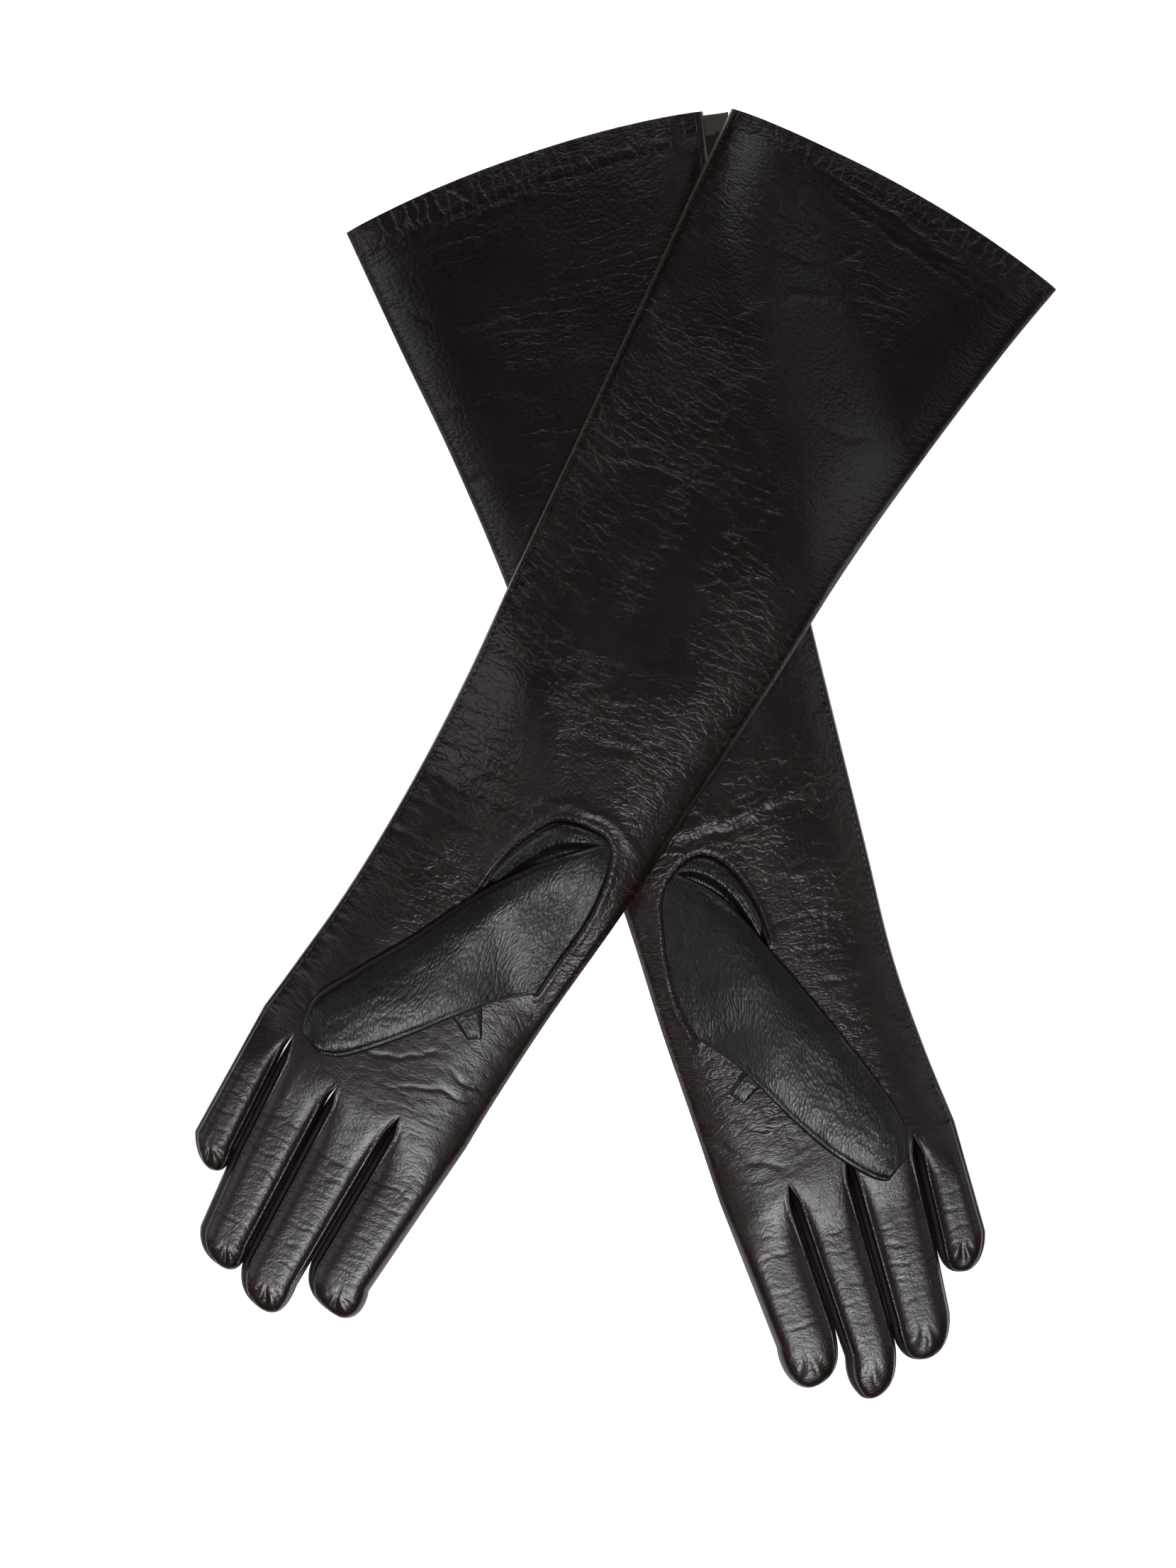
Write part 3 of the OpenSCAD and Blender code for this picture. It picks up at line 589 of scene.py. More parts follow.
def finger_rows(side, k):
    """The finger's corners, its rows up to the knuckle and beyond it, its tip's turns and its run."""
    f = CUT[side]["fingers"][k]
    d1 = straight_run(f)
    split = knuckle(side, k) - KNUCKLE_ROOM
    root = np.linspace(0, split, 12)
    straight = np.linspace(split, d1, int((d1 - split) / 0.7))
    turn = np.radians(90 * np.linspace(0, 1, 17))
    return f, root, straight, turn, d1


def gap_beside(side, k, s, points):
    """Space between side s of finger k and its neighbour, which the gussets fill."""
    fingers = CUT[side]["fingers"]
    other = k + (1 if s else -1)
    if not 0 <= other <= 3:
        return np.zeros(len(points))
    corner = fingers[k][s]
    far, offset = fingers[other][3 - s] - corner, points - corner
    gap = np.abs(far[0] * offset[:, 1] - far[1] * offset[:, 0]) / np.linalg.norm(far)
    return gap * np.minimum(1, np.linalg.norm(far) / np.maximum(1, np.linalg.norm(offset, axis=1)))


def finger_height(k, v):
    a, b = (OUTER_SIDE if k == 0 else FINGER_SIDE), (OUTER_SIDE if k == 3 else FINGER_SIDE)
    s = mix(a, b, v)
    return s + (FINGER_HEIGHT - s) * (1 - np.abs(2 * v - 1) ** 4)


def edge_shape(cut, k, v, forked):
    """Round or sewn outer edges as a factor on the height, and beads along the inner finger seams."""
    factor, bead = np.ones_like(v), np.zeros_like(v)
    for kind, e in zip(strip_kinds(cut, k), (v * 2 * HALF, (1 - v) * 2 * HALF)):
        if kind == "fold":
            factor = factor * rounded(e, FOLD_ROUND)
        elif kind == "seam":
            factor = factor * rounded(e, SEAM_ROUND)
            bead = bead - 0.5 * np.exp(-((e - SEAM_INSET) / 0.5) ** 2)
        else:
            bead = bead + forked * (0.28 * np.exp(-((e - 0.7) / 0.45) ** 2) - 0.5 * np.exp(-(e / 0.22) ** 2)
                                    - 0.14 * np.exp(-((e - 1.6) / 0.4) ** 2))
    return factor, bead


# Creases that can be told apart: [points, width, height], a crease below the surface or a
# ridge above it. They are worked into the palms along with the finer wrinkles.
MARKS = {
    "right": [
        ([(18, -29), (40, -23), (55, -16), (78, -8)], 2.6, 1.5),
        ([(16, -34), (30, -30), (44, -26)], 2.4, -1.3),
        ([(-96, 174), (-78, 181), (-56, 188), (-30, 196)], 1.1, 0.7),
        ([(-92, 170), (-74, 176), (-50, 183)], 1.3, -0.5),
        ([(52, -62), (66, -58), (80, -60), (90, -56)], 1.3, -0.7),
        ([(58, -72), (72, -70), (92, -66)], 1.2, -0.5), ([(64, -84), (80, -80), (96, -84)], 1.2, -0.6),
        ([(76, -98), (90, -94), (103, -98)], 1.1, -0.6),
        ([(86, -112), (98, -108), (108, -112)], 1.0, -0.5),
        ([(62, -36), (76, -30), (84, -26)], 1.4, -0.6), ([(50, -44), (66, -42), (84, -38)], 1.8, 0.6),
        ([(30, -125), (42, -132), (52, -134)], 1.2, -0.5),
        ([(28, -136), (42, -144), (58, -146)], 1.3, -0.6), ([(-20, 40), (5, 48), (30, 44)], 2.2, -0.5),
        ([(-92, 160), (-60, 150), (-36, 156)], 2.4, -0.5),
        ([(-70, 118), (-48, 124), (-24, 120)], 2.5, 0.5), ([(-60, 90), (-44, 98), (-30, 96)], 2.0, -0.5),
    ],
    "left": [
        ([(-16, 103), (10, 101), (30, 92), (43, 79)], 1.5, -0.9),
        ([(-12, 108), (10, 105), (32, 96)], 2.2, 0.6),
        ([(58, 213), (75, 201), (100, 184), (117, 172), (141, 157)], 1.2, 0.7),
        ([(55, 208), (72, 196), (97, 179), (114, 167), (137, 152)], 1.4, -0.6),
        ([(28, 140), (40, 118), (60, 80)], 6.0, 0.8),
        ([(-72, -5), (-55, -15), (-40, -24), (-31, -28)], 1.5, -1.0),
        ([(-78, -14), (-60, -24), (-48, -30)], 1.4, -0.8), ([(-66, 2), (-50, -6), (-34, -14)], 1.8, 0.6),
        ([(-84, -26), (-68, -34), (-56, -42)], 1.3, -0.7),
        ([(-33, -21), (-22, -19), (-6, -24), (8, -40)], 2.2, 1.0),
        ([(-8, -84), (-14, -90), (-26, -96), (-36, -94)], 1.3, -0.8),
        ([(0, -70), (-10, -80), (-20, -88)], 1.4, -0.6),
        ([(-18, -106), (-30, -108), (-44, -104)], 1.3, -0.7),
        ([(-95, -104), (-82, -108), (-64, -106)], 1.1, -0.6),
        ([(-100, -96), (-88, -99), (-74, -98)], 1.0, -0.5),
        ([(-62, -112), (-50, -120), (-38, -116)], 1.2, -0.7),
        ([(-80, -118), (-66, -120), (-52, -126)], 1.2, -0.6),
        ([(-50, 40), (-30, 30), (-8, 30), (14, 20)], 2.4, -0.6),
        ([(-40, 56), (-20, 62), (6, 54)], 2.2, 0.6), ([(40, 150), (62, 160), (90, 156)], 2.6, 0.5),
        ([(48, 180), (66, 172), (84, 176)], 2.0, -0.5), ([(60, 120), (80, 110), (98, 112)], 2.6, -0.5),
        ([(20, 60), (36, 48), (50, 44)], 2.0, -0.6), ([(-20, 5), (0, 0), (18, 2)], 2.2, -0.6),
    ],
}
MARK_WIDTH = 0.6
MARK_HEIGHT = 0.42
CREASE_PITCH = 6.6


def inside_loop(x, y, loop):
    """True for places inside a closed loop of points."""
    hits = np.zeros(x.shape, bool)
    for p, q in zip(loop, np.roll(loop, -1, axis=0)):
        crosses = (p[1] > y) != (q[1] > y)
        with np.errstate(divide="ignore", invalid="ignore"):
            hits ^= crosses & (x < (q[0] - p[0]) * (y - p[1]) / (q[1] - p[1]) + p[0])
    return hits


def thumb_hole(side, x, y):
    """The palm sinks under the thumb inside the oval hole seam and is drawn in along that seam."""
    seam = CUT[side]["hole"]
    r = line_distance(x, y, seam)[0]
    loop = along(seam, np.linspace(0, len(seam) - 1, 80))
    hidden = inside_loop(x, y, loop)
    pull = 0.3 * np.exp(-((r - 1.5) / 0.8) ** 2) * ~hidden
    return -1.5 * hidden * ease(r / 2.0) - 0.55 * np.exp(-(r / 0.6) ** 2) + pull


def ridged(x, y, size, seed):
    """Noise with sharp crests."""
    return 1 - np.abs(waves(x, y, size, seed)) * 3


def leather_relief(side, x, y, su, sv, finger, tip):
    """Wrinkles of the leather: su across and sv along the glove in millimetres."""
    seed = 3 if side == "right" else 8
    wander = waves(su, sv, 16, seed) * 9
    relief = 0.42 * waves(x, y, 42, seed + 1) + 0.09 * waves(x, y, 16, seed + 2)
    calm = 0.35 + 0.65 * ease((waves(x, y, 45, seed + 3) + 0.35) / 0.7)
    worn = 0.3 + 0.7 * ease((sv - 130) / 90)
    relief = relief + worn * calm * (0.10 * ridged(su / 2.6, sv + wander, 6.4, seed + 4) - 0.06)
    relief = relief + worn * (0.05 * ridged(su / 1.7 + wander * 0.3, sv, 3.1, seed + 5)
                              + 0.03 * waves(su, sv, 1.9, seed + 6))
    body = relief
    shaky_x, shaky_y = x + waves(x, y, 9, 4) * 2.2, y + waves(x, y, 7, 5) * 2.2
    for points, width, height in MARKS[side]:
        body = body + fold_line(shaky_x, shaky_y, points, width * MARK_WIDTH, height * MARK_HEIGHT)
    body = body + thumb_hole(side, x, y)
    bend = (sv + 2.4 * waves(su, sv, 9, seed + 7)) / CREASE_PITCH
    gap = np.abs(bend - np.round(bend)) * CREASE_PITCH
    depth = np.clip(0.5 + 1.1 * waves(su * 0.6, np.round(bend) * 37.0, 11, seed + 8), 0, 1)
    jointed = relief * 0.4 - 0.13 * depth * np.exp(-(gap / 0.4) ** 2)
    jointed = jointed + 0.04 * depth * np.exp(-((gap - 1.3) / 0.7) ** 2)
    return mix(body, jointed, finger) * (1 - 0.75 * tip)


FLARE = 9.0
VENT = 26.0
TIP_PLEATS = 0.34
JOIN_ROWS = 7
HEM_ROWS = 11
SEAM_LINES = {}


def across_skin(cut, s):
    """Place across the skin in millimetres, with the side seam always at its far edge."""
    return (s if cut["seam"] == "b" else 1 - s) * TRANK_WIDTH


def palm_grids(side):
    """Upper face of the sleeve and palm in four strips, with its turned-in hem, up to the roots of the
    fingers.
    """
    cut = CUT[side]
    n = len(cut["a"]) - 1
    u = np.linspace(0, n, int(n * STATION / ROW) + 1)
    turn = np.linspace(np.pi, 0, 7)[:-1]
    hem_u = np.concatenate([np.linspace(HEM / STATION, 0.02, 6), 0.02 * np.ones(6) - 0.014 * np.sin(turn), u])
    tuck = np.concatenate([np.ones(6), (1 - np.cos(turn)) / 2, np.zeros(len(u))])
    parts = []
    for k in range(4):
        v = strip_cols(cut, k)
        vv, uu = np.meshgrid(v, hem_u)
        xy = sleeve_xy(cut, uu, k, vv)
        x, y = xy[..., 0], xy[..., 1]
        s = mix(cut["split"][k], cut["split"][k + 1], vv)
        factor, bead = edge_shape(cut, k, v, 0)
        su, sv = s * TRANK_WIDTH, uu * STATION
        relief = leather_relief(side, x, y, su, sv, 0 * uu, 0 * uu)
        pleats = np.exp(-uu * STATION / 9) * (0.55 if side == "right" else 0.3) * waves(su, uu * 5, 4.2, 21)
        broken = (0.22 if side == "right" else 0.12) * (0.6 + 1.2 * waves(su, 0 * uu, 11, 23))
        past_hem = sv + 0.8 * waves(su, uu * 9, 14, 22)
        ridge = np.exp(-((past_hem - 11.5) / 1.0) ** 2) - 0.9 * np.exp(-((past_hem - 13.8) / 1.3) ** 2)
        pleats = pleats + broken * ridge
        if k == (0 if cut["seam"] == "a" else 3):
            seam_gap = {"a": vv, "b": 1 - vv}[cut["seam"]] * 2 * HALF
            puckers = waves(seam_gap * 0.25, sv, 3.4, 24)
            relief = relief + 0.3 * np.exp(-((seam_gap - 3) / 4.5) ** 2) * puckers
        middle = base_height(side, x, y) + FOLD_MIDDLE
        from_side = np.minimum(vv if k == 0 else 1, 1 - vv if k == 3 else 1)
        calm = 0.35 + 0.65 * np.clip(from_side * 8, 0, 1)
        z = glove_height(side, x, y) + (relief + pleats) * factor * calm + bead
        if side == "right":
            z = np.minimum(z, 8.5 + 1.2 * ease((y - 150) / 60))
        z = middle + (z - middle) * factor
        inside = middle + np.maximum(z - middle - 1.4, 0.03 * (z - middle))
        z = mix(z, inside, tuck[:, None])
        parts.append((xy, z, s))
    return parts, hem_u, tuck


def glove_surface(side):
    """All leather faces of one glove in one welded surface; tags name the pieces."""
    cut = CUT[side]
    surface = Surface()
    parts, hem_u, tuck = palm_grids(side)
    xy, z, s = (side_by_side(parts, i) for i in range(3))
    xyz = np.dstack([xy, z])
    uv = pair_map(s.shape, across_skin(cut, s), (hem_u * STATION)[:, None])
    surface.grid("hem", xyz[:HEM_ROWS + 1], uv[:HEM_ROWS + 1])
    surface.grid("palm", xyz[HEM_ROWS:], uv[HEM_ROWS:])
    sleeve_end = len(cut["a"]) * STATION - STATION
    for k in range(4):
        f, root, straight, turn, d1 = finger_rows(side, k)
        v = strip_cols(cut, k)
        middle, axis = finger_axis(f)
        da, db = (f[0] - middle) @ axis, (f[1] - middle) @ axis
        d = np.concatenate([root, straight[1:], np.full(len(turn) - 1, d1)])
        turns = np.concatenate([np.zeros(len(root) + len(straight) - 1), turn[1:]])
        share = root / root[-1]
        a, b = finger_frame(f, turns, d)
        a[:len(root)] = side_at(f, 0, mix(da, root[-1], share))
        b[:len(root)] = side_at(f, 1, mix(db, root[-1], share))
        across = unit(b[:1] * 0 + side_at(f, 1, d1) - side_at(f, 0, d1))
        opened = ease(d / 9.0) * np.cos(turns) ** 0.7
        half_gap = [0.5 * gap_beside(side, k, q, line) * np.cos(turns) for q, line in ((0, a), (1, b))]
        wide_a = a - across * ((half_gap[0] + 0.8 * opened) * (k > 0))[:, None]
        wide_b = b + across * ((half_gap[1] - 0.8 * opened) * (k < 3))[:, None]
        narrow_a = a + across * ((1.6 * opened - half_gap[0]) * (k > 0))[:, None]
        narrow_b = b - across * ((1.6 * opened - half_gap[1]) * (k < 3))[:, None]
        grid = mix(narrow_a[:, None], narrow_b[:, None], v[None, :, None])
        x, y = grid[..., 0], grid[..., 1]
        vv, dd = np.meshgrid(v, d + np.sin(turns) * np.linalg.norm(f[4] - (f[2] + f[3]) / 2))
        split_v = mix(cut["split"][k], cut["split"][k + 1], vv)
        full = np.cos(turns)[:, None] ** 0.5
        factor, bead = edge_shape(cut, k, v, ease(dd / 6) * full)
        lift = mix(glove_height(side, x, y), finger_height(k, v) + 0 * x,
                   ease(d / knuckle(side, k))[:, None])
        tipped = ease((dd - d1 + 6) / 10)
        relief = leather_relief(side, x, y, split_v * TRANK_WIDTH, sleeve_end + dd, ease(dd / 20), tipped)
        centre = (f[2] + f[3]) / 2
        angle = np.arctan2((x - centre[0]) * axis[1] - (y - centre[1]) * axis[0],
                           (x - centre[0]) * axis[0] + (y - centre[1]) * axis[1])
        from_tip = np.hypot(x - f[4][0], y - f[4][1])
        pleat = TIP_PLEATS * tipped * np.exp(-((from_tip - 5) / 5) ** 2)
        pleat = pleat * np.cos(angle * 9 + 2 * waves(x, y, 6, k))
        edge_calm = np.clip(np.minimum(vv, 1 - vv) * 9, 0.25, 1)
        z = lift + (relief + pleat) * edge_calm + bead
        z = FOLD_MIDDLE + (z - FOLD_MIDDLE) * factor * full
        step = parts[k][1][-1] - z[0]
        for i in range(JOIN_ROWS):
            z[i] += step * (1 - i / JOIN_ROWS)
        grid3 = np.dstack([x, y, z])
        grid3[0, :, :2] = parts[k][0][-1]
        cut_row = len(root) - 1
        uvs = np.dstack([across_skin(cut, split_v), sleeve_end + dd])
        surface.grid("palm", grid3[:cut_row + 1], uvs[:cut_row + 1])
        surface.grid("palm_" + cut["names"][k], grid3[cut_row:], uvs[cut_row:])
        back_of_finger(surface, side, k, grid3, uvs, wide_a, wide_b, turns, cut_row, v)
        for s in (0, 1):
            if strip_kinds(cut, k)[s] == "inner":
                SEAM_LINES[side, k, s] = grid3[:-7, 4 if s == 0 else -5], cut_row
    back_of_sleeve(surface, side, parts, hem_u, tuck)
    return surface.weld()


def curl(kind, e):
    """Height of the lower face at distance e from a folded or sewn edge, where it curls up."""
    return FOLD_MIDDLE * (1 - rounded(e, FOLD_ROUND if kind == "fold" else SEAM_ROUND))


def back_of_finger(surface, side, k, palm, uvs, a, b, turns, cut_row, v):
    """Lower face of a finger and the gusset walls between its two faces."""
    name = CUT[side]["names"][k]
    full = np.cos(turns)[:, None] ** 0.5
    kinds = strip_kinds(CUT[side], k)
    few = v[every_second(len(v))]
    grid = mix(a[:, None], b[:, None], few[None, :, None])
    z = np.zeros(grid.shape[:2])
    for kind, e in zip(kinds, (few * 2 * HALF, (1 - few) * 2 * HALF)):
        if kind == "inner":
            z = np.maximum(z, 0.9 * (1 - np.clip(e / 1.1, 0, 1)) ** 2)
        else:
            z = np.maximum(z, curl(kind, e))
    z = mix(FOLD_MIDDLE, z, full ** 0.8)
    back = np.dstack([grid, z])
    uv = pair_map(z.shape, few * 26 + 140, uvs[:, :1, 1])
    surface.grid("back", back[:cut_row + 1], uv[:cut_row + 1], up=False)
    surface.grid("back_" + name, back[cut_row:], uv[cut_row:], up=False)
    for s in (0, 1):
        if kinds[s] != "inner":
            continue
        top, foot = palm[:, -s], back[:, -s]
        out = np.array([0, 0.04, 0.16, 0.45, 0.8, 1.0])
        down = np.array([0, 0.18, 0.3, 0.36, 0.6, 1.0])
        wall = mix(top[:, None], foot[:, None], out[None, :, None])
        wall[..., 2] = mix(top[:, None, 2], foot[:, None, 2], down[None])
        uv = pair_map(wall.shape[:2], out * 7 + 180 + 9 * s, uvs[:, :1, 1])
        surface.grid("gusset", wall[:cut_row + 1], uv[:cut_row + 1], up=s == 1)
        surface.grid("gusset_" + name, wall[cut_row:], uv[cut_row:], up=s == 1)


def back_of_sleeve(surface, side, parts, hem_u, tuck):
    """Lower face of the sleeve and palm with its own hem; the right one spreads at the vent."""
    cut = CUT[side]
    hem = HEM_ROWS + 1
    keep = np.concatenate([np.arange(hem), np.arange(hem, len(hem_u) - 1, 3), [len(hem_u) - 1]])
    rows = []
    for k in range(4):
        v = strip_cols(cut, k)
        few = every_second(len(v))
        xy, s = parts[k][0][keep][:, few].copy(), parts[k][2][keep][:, few]
        vv, uu = np.meshgrid(v[few], hem_u[keep])
        base = base_height(side, xy[..., 0], xy[..., 1])
        z = np.zeros_like(base)
        for kind, e in zip(strip_kinds(cut, k), (vv * 2 * HALF, (1 - vv) * 2 * HALF)):
            if kind != "inner":
                z = np.maximum(z, curl(kind, e))
        if side == "right" and k == 3:
            flare = FLARE * (1 - ease(uu * STATION / VENT)) * ease((vv - 0.3) / 0.7)
            xy[..., 0] += flare
            z = z * (1 - 0.7 * np.clip(flare / 4, 0, 1))
        inside = np.maximum(z, mix(0.9, 1.2, ease(np.minimum(vv, 1 - vv) * 6)))
        z = base + mix(z, inside, tuck[keep][:, None])
        rows.append((np.dstack([xy, z]), np.dstack([s * TRANK_WIDTH + 300, uu * STATION])))
    xyz, uv = side_by_side(rows, 0), side_by_side(rows, 1)
    surface.grid("hem", xyz[:HEM_ROWS + 1], uv[:HEM_ROWS + 1], up=False)
    surface.grid("back", xyz[HEM_ROWS:], uv[HEM_ROWS:], up=False)


def bend_at_knuckle(piece, side, k):
    """Works out two places along the finger about its knuckle, which are not used, and bakes the piece's
    placement into its mesh.
    """
    middle, axis = finger_axis(CUT[side]["fingers"][k])
    start, end = (tuple(np.append((middle + axis * (knuckle(side, k) + r)) * MM, KNUCKLE_HEIGHT))
                  for r in (-KNUCKLE_ROOM, KNUCKLE_END))
    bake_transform(piece)


SURFACES = {}
for side, cut in CUT.items():
    surface = SURFACES[side] = glove_surface(side)
    for tag, name, material in (("palm", "palm", BLACK_LEATHER), ("back", "back", BLACK_LEATHER),
                                ("hem", "cuff_hem", GUSSET_LEATHER),
                                ("gusset", "fourchettes", GUSSET_LEATHER)):
        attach(surface.piece(f"{side}_{name}", tag, material), f"{side}_glove")
    for k, finger in enumerate(cut["names"]):
        gussets = "fourchettes" if finger in ("middle", "ring") else "fourchette"
        for tag, name, material in (("palm", "palm", BLACK_LEATHER), ("back", "back", BLACK_LEATHER),
                                    ("gusset", gussets, GUSSET_LEATHER)):
            piece = surface.piece(f"{side}_{finger}_{name}", f"{tag}_{finger}", material)
            bend_at_knuckle(piece, side, k)

# Thumbs. Each is cut on its own from a smoother part of the skin and sewn round an oval
# hole; it lies folded over the palm with a crescent of it and a small quirk showing.
THUMB_GAP = 0.8
THUMB_LENGTH = 118.0
THUMB_EDGE = 2.2
THUMB_TIP = 5.5
THUMB_PUFF = 2.9
THUMB_HINGE_HEIGHT = 8.0
THUMB_BEND = (-1.0, 14.0)
THUMB_SWELL = {"right": ([(30, -80), (42, -95), (56, -110)], 9.0, 0.4),
               "left": ([(-16, -44), (-36, -52), (-62, -68)], 9.0, 1.0)}


def smooth_relief(x, y, seed):
    return (0.22 * waves(x, y, 21, seed) + 0.08 * waves(x, y, 8, seed + 1) + 0.04 * waves(x, y, 3.5, seed + 2)
            + 0.03 * ridged(x * 0.5 + y * 0.6, y * 0.5 - x * 0.6, 6, seed + 3))


def thumb_grid(cut, rows=110, cols=44):
    """Places on the thumb, its rounding and dome, the distance from its side and from its root."""
    n = len(cut["thumb_a"]) - 1
    w = (1 - np.cos(np.linspace(0, np.pi, rows))) / 2
    w = 0.6 * w + 0.4 * np.linspace(0, 1, rows)
    t = (1 - np.cos(np.linspace(0, np.pi, cols))) / 2
    a, b = along(cut["thumb_a"], w * n), along(cut["thumb_b"], w * n)
    corner = 0.13 * (1 - np.sqrt(1 - np.clip((w - 0.93) / 0.07, 0, 1) ** 2))
    ends = mix(a, b, corner[:, None]), mix(b, a, corner[:, None])
    xy = mix(ends[0][:, None], ends[1][:, None], t[None, :, None])
    width = np.linalg.norm(b - a, axis=1)[:, None]
    e = np.minimum(t, 1 - t)[None] * width
    dome = 1 - 0.5 * (np.abs(2 * t - 1) ** 3)[None]
    tip = rounded((1 - w) * THUMB_LENGTH, THUMB_TIP)[:, None]
    return xy, rounded(e, THUMB_EDGE) * tip, dome * np.ones_like(e), e, w[:, None] * THUMB_LENGTH, t


for side, cut in CUT.items():
    xy, shape, dome, e, run, t = thumb_grid(cut)
    q = np.linspace(0, 1, 26)[:-1, None, None]
    seam = along(cut["hole"], 5 * (1 - t))
    apron = mix(seam[None], xy[0][None], q)
    reach = np.linalg.norm(xy[0] - seam, axis=1)[None] * q[..., 0]
    edge = np.broadcast_to(np.linalg.norm(apron - apron[:, :1], axis=-1), reach.shape)
    rows = len(q)
    xy = np.concatenate([apron, xy])
    run = np.concatenate([reach - reach[-1:], np.broadcast_to(run, (len(run), len(t)))])
    e = np.concatenate([np.where(t[None] < 0.5, edge, 30), e])
    x, y = xy[..., 0], xy[..., 1]
    from_seam = line_distance(x, y, cut["hole"][:6])[0]
    seed = 30 if side == "right" else 40
    floor_z = glove_height(side, x, y) + THUMB_GAP
    rim = 0.55 * np.exp(-((e - 0.7) / 0.4) ** 2) - 0.2 * np.exp(-((e - 1.7) / 0.5) ** 2)
    cross = waves(run * 0.25, e * 0.5, 2.2, seed + 5) * 0.22 * ease((run - 30) / 60)
    wrinkles = smooth_relief(x, y, seed) + rim + cross + fold_line(x, y, *THUMB_SWELL[side])
    middle = floor_z + 1.1
    side_edge = rounded(edge, THUMB_EDGE)
    full_shape = np.concatenate([side_edge * np.ones_like(reach), shape])
    full_dome = np.concatenate([np.broadcast_to(dome[:1], reach.shape), dome])
    rise = 0.14 * rounded(from_seam, 0.8) + 0.86 * ease(from_seam / 34 + 0.05)
    puffed = middle + full_shape * (THUMB_PUFF * full_dome + wrinkles)
    sewn = glove_height(side, x, y) + 0.1 + 0.3 * (wrinkles - 0.2)
    upper = mix(sewn, puffed, np.clip(rise, 0, 1))
    uv = np.dstack([t[None] * np.linalg.norm(xy[:, -1] - xy[:, 0], axis=1)[:, None], run + 0 * e])
    surface = Surface()
    surface.grid("front", np.dstack([x, y, upper]), uv)
    lower = np.minimum(middle - 1.0 * full_shape, upper - 0.1)[rows:]
    lower[:, 0], lower[:, -1], lower[-1] = upper[rows:, 0], upper[rows:, -1], upper[-1]
    surface.grid("under", np.dstack([x[rows:], y[rows:], lower]), uv[rows:] + 60, up=False)
    surface.weld()
    centres = cut["thumb_a"] + cut["thumb_b"]
    direction = unit(np.append(centres[3] - centres[0], 0))
    hinge = np.append(centres[0] / 2, THUMB_HINGE_HEIGHT)
    root_line = cut["thumb_b"][0] - cut["thumb_a"][0]
    normal = unit(np.array([-root_line[1], root_line[0], 0]))
    normal = normal * np.sign(normal @ direction)
    bend = [tuple((hinge + normal * r) * MM) for r in THUMB_BEND]
    for tag in ("front", "under"):
        piece = surface.piece(f"{side}_thumb_{tag}", tag, THUMB_LEATHER)
        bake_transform(piece)
    inside = np.minimum(middle + (upper - middle) * 0.45 - 0.2, upper - 0.35)
    inner = np.dstack([x, y, inside])[rows + 6:-6:3, 5:-5:3]
    lining = Surface()
    lining.grid("lining", inner, uv[rows + 6:-6:3, 5:-5:3])
    piece = lining.weld().piece(f"{side}_thumb_lining", "lining", SILK)
    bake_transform(piece)

    i, q = np.meshgrid(np.linspace(4.4, 9.6, 90), np.linspace(0, 1, 22), indexing="ij")
    inner_edge = along(cut["thumb_a"], np.clip((i - 5) / 5 * 1.9, 0, 6))
    inner_edge = np.where((i < 5)[..., None], cut["thumb_a"][0], inner_edge)
    centre = cut["thumb_b"][0] * 0.1 + cut["thumb_b"][1] * 0.4 + cut["thumb_a"][1] * 0.5
    inner_edge = inner_edge + unit(centre - inner_edge) * 2.0
    xy = mix(along(cut["hole"], i), inner_edge, q[..., None])
    x, y = xy[..., 0], xy[..., 1]
    p = (i - 4.4) / 5.2
    ends = np.clip(np.sin(np.pi * p), 0, 1) ** 0.35
    hump = rounded(q, 0.3) * (1 - 0.95 * ease((q - 0.5) / 0.34))
    z = glove_height(side, x, y) + 0.1
    z = z + ends * hump * (1.7 + smooth_relief(x, y, seed + 9) * 1.6) - 1.0 * (1 - ends)
    surface = Surface()
    surface.grid("base", np.dstack([x, y, z]), np.dstack([q * 12, p * 60]))
    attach(surface.weld().piece(f"{side}_thumb_base", "base", THUMB_LEATHER), f"{side}_glove")

    c, d = np.meshgrid(np.linspace(0, 1, 13), np.linspace(0, 1, 11), indexing="ij")
    corners = cut["quirk"]
    ends = [mix(corners[j], corners[j + 1], d[..., None]) for j in (0, 2)]
    xy = mix(*ends, c[..., None])
    rim = np.minimum(np.minimum(c, 1 - c), np.minimum(d, 1 - d))
    z = glove_height(side, xy[..., 0], xy[..., 1]) + 0.65 * rounded(rim, 0.4) - 0.1
    surface = Surface()
    surface.grid("quirk", np.dstack([xy, z]), np.dstack([c * 9, d * 9]))
    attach(surface.weld().piece(f"{side}_thumb_quirk", "quirk", THUMB_LEATHER), f"{side}_glove")

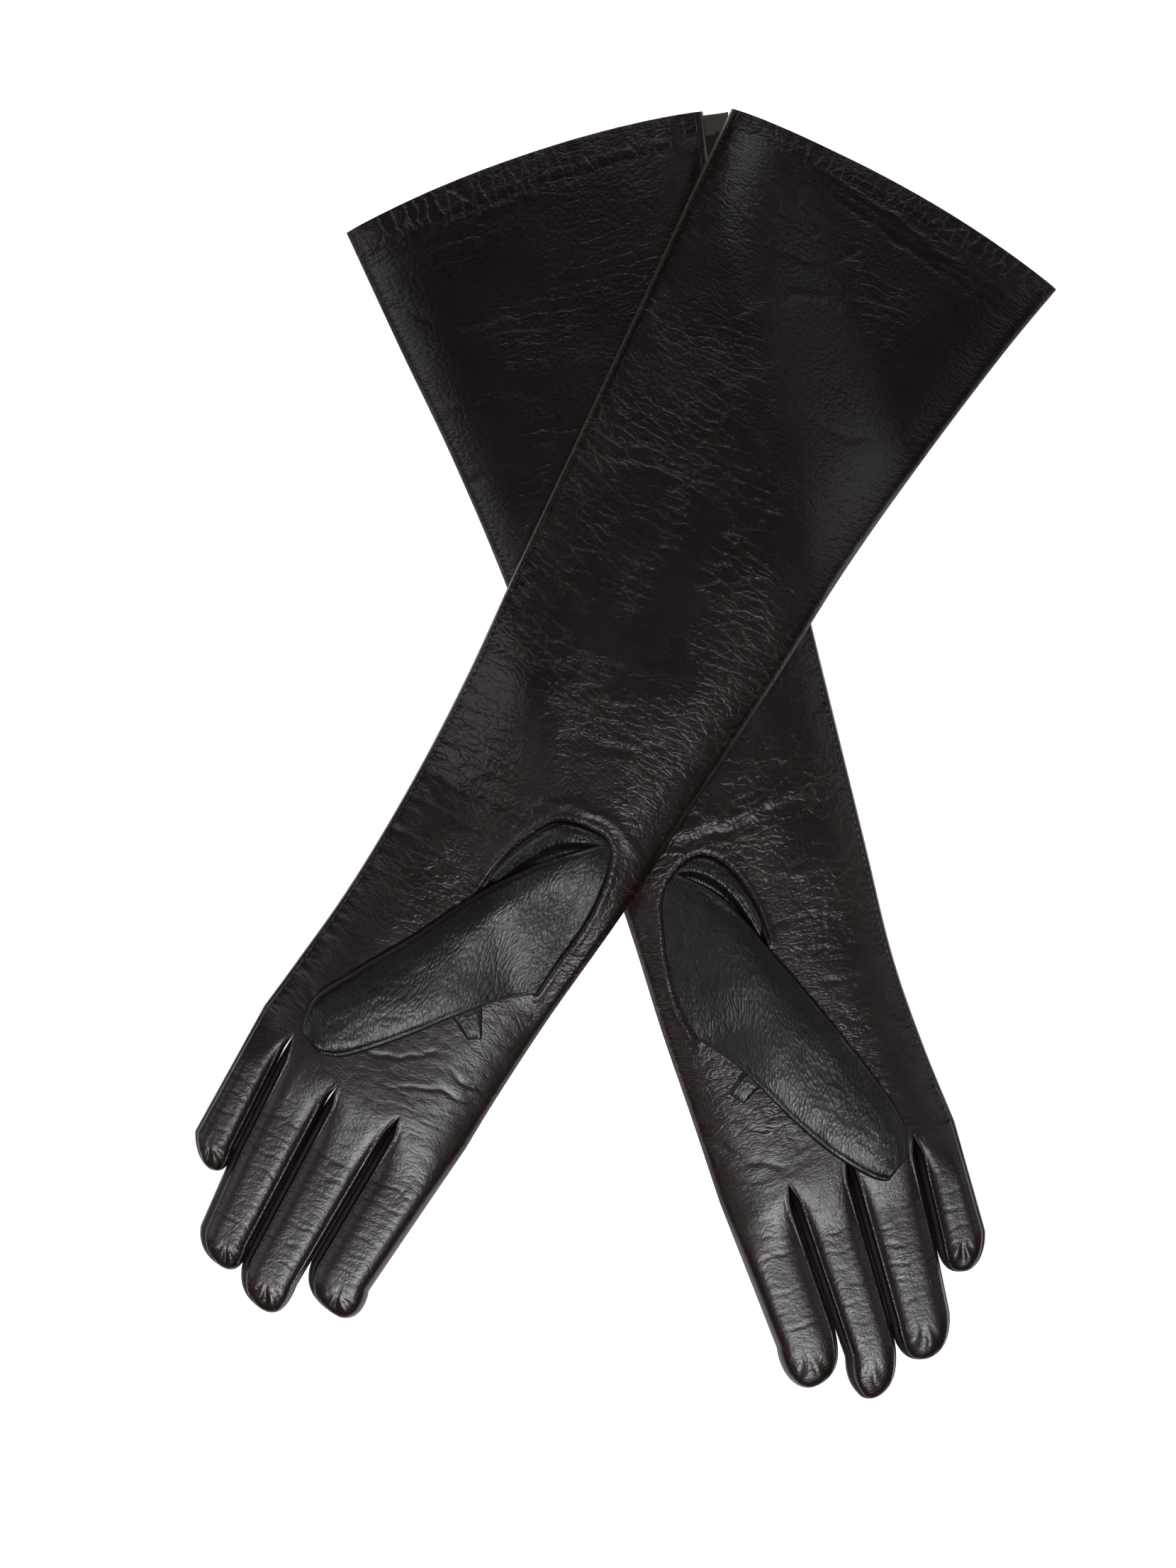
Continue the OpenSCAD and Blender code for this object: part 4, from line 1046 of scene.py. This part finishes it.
# Silk lining. A loose inner glove of thin silk, sewn to the edge of the turned-in hem and
# seen inside the cuffs and in the open vent of the right glove.
for side, cut in CUT.items():
    lining = Surface()
    n = len(cut["a"]) - 1
    u = np.append(np.linspace(8.5 / STATION, 30 / STATION, 8), np.linspace(0.8, n, n * 9))
    strips = []
    for k in range(4):
        v = np.linspace(0.09 if k == 0 else 0, 0.91 if k == 3 else 1, 9)
        vv, uu = np.meshgrid(v, u)
        xy = sleeve_xy(cut, uu, k, vv)
        su = mix(cut["split"][k], cut["split"][k + 1], vv) * TRANK_WIDTH
        strips.append((xy, su, uu * STATION, vv, k))
    for tag in ("palm_lining", "back_lining"):
        blocks = []
        for xy, su, sv, vv, k in strips:
            xy = xy.copy()
            x, y = xy[..., 0], xy[..., 1]
            base = base_height(side, x, y)
            if tag == "palm_lining":
                z = base + 1.3 + (glove_height(side, x, y) - base - 1.3) * 0.66
            else:
                z = base + 1.05 + 0.12 * waves(x, y, 6, 60)
                if side == "right" and k == 3:
                    opened = 1 - ease(sv / VENT)
                    x += FLARE * opened * ease((vv - 0.2) / 0.7) + 1.6 * opened * vv
            z = z + 0.12 * waves(su * 1.2, sv, 5, 61)
            blocks.append((np.dstack([x, y, z]), np.dstack([su, sv])))
        lining.grid(tag, side_by_side(blocks, 0), side_by_side(blocks, 1), up=tag == "palm_lining")
    for k, finger in enumerate(cut["names"]):
        f, root, straight, turn, d1 = finger_rows(side, k)
        d = np.append(np.linspace(root[-1] - 1, d1, 24), np.full(5, d1))
        turns = np.append(np.zeros(24), np.radians([14, 28, 42, 56, 68]))
        a, b = finger_frame(f, turns, d)
        v = np.linspace(0.12, 0.88, 9)
        xy = mix(a[:, None], b[:, None], v[None, :, None])
        z = FOLD_MIDDLE + (finger_height(k, v) - FOLD_MIDDLE)[None] * 0.45 * np.cos(turns)[:, None] ** 0.5
        uv = pair_map(z.shape, v * 25, (d + 20 * turns)[:, None])
        lining.grid("lining_" + finger, np.dstack([xy, z]), uv)
    lining.weld()
    for tag in ("palm_lining", "back_lining"):
        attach(lining.piece(f"{side}_{tag}", tag, SILK), f"{side}_glove")
    for k, finger in enumerate(cut["names"]):
        bend_at_knuckle(lining.piece(f"{side}_{finger}_lining", "lining_" + finger, SILK), side, k)

# Seam stitches. Short prick stitches in glazed thread run beside the raw edges of the side
# seams, round the thumb holes and along the finger seams.
def on_leather(side, line):
    """Heights of the palm's leather along a flat line."""
    surface = SURFACES[side]
    chosen = np.unique(surface.welded[surface.tags == "palm"])
    tree = KDTree(len(chosen))
    for i in chosen:
        tree.insert((*surface.points[i][:2], 0), int(i))
    tree.balance()
    z = [surface.points[tree.find((*q, 0))[1]][2] for q in line]
    return np.column_stack([line, z])


def stitches(surface, tag, line, pitch, lift=0.16, length=0.68, thick=0.24):
    """Separate stitches along a line in space, each a short bent bar of thread."""
    reach = np.append(0, np.cumsum(np.linalg.norm(np.diff(line, axis=0), axis=1)))
    count = max(1, int(reach[-1] / pitch))
    turns = np.radians(np.arange(0, 361, 60))
    bar = np.array([-0.5, -0.42, -0.2, 0.2, 0.42, 0.5])
    for j in range(count):
        places = ((j + 0.5) / count) * reach[-1] + bar * pitch * length
        path = np.stack([np.interp(places, reach, line[:, c]) for c in range(3)], 1)
        path[:, 2] = path[:, 2].mean() + lift + np.array([-0.35, -0.12, 0, 0, -0.12, -0.35])
        radius = thick * np.array([0.3, 0.85, 1, 1, 0.85, 0.3])[:, None]
        forward = unit(path[-1, :2] - path[0, :2])
        ring = np.stack([path[:, None, 0] + forward[1] * radius * np.cos(turns),
                         path[:, None, 1] - forward[0] * radius * np.cos(turns),
                         path[:, None, 2] + radius * np.sin(turns)], -1)
        surface.grid(tag, ring, pair_map(ring.shape[:2], turns, places[:, None] * 2))


def offset_line(line, distance):
    """The flat line moved sideways."""
    forward = unit(np.gradient(line, axis=0))
    return line + np.stack([forward[:, 1], -forward[:, 0]], 1) * distance


for side, cut in CUT.items():
    threads = Surface()
    edge = cut[cut["seam"]]
    n = len(edge) - 1
    line = along(edge, np.linspace(VENT / STATION if side == "right" else 0.1, n - 0.02, 400))
    inset = SEAM_INSET if side == "right" else -SEAM_INSET
    stitches(threads, "side", on_leather(side, offset_line(line, inset)), 2.6)
    line = along(cut["hole"], np.linspace(0.9, 9.3, 240))
    stitches(threads, "thumb", on_leather(side, offset_line(line, 0.7 if side == "left" else -0.7)), 1.9, 0.3)
    for (which, k, s), (line, cut_row) in SEAM_LINES.items():
        if which == side:
            stitches(threads, "fingers", line[6:cut_row + 1], 1.9, 0.02, thick=0.2)
            stitches(threads, cut["names"][k], line[cut_row:], 1.9, 0.02, thick=0.2)
    threads.weld()
    for tag in ("side", "thumb"):
        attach(threads.piece(f"{side}_{tag}_seam", tag, THREAD), f"{side}_glove")
    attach(threads.piece(f"{side}_finger_root_stitches", "fingers", THREAD, in_cad=False), f"{side}_glove")
    for k, finger in enumerate(cut["names"]):
        bend_at_knuckle(threads.piece(f"{side}_{finger}_stitches", finger, THREAD, in_cad=False), side, k)
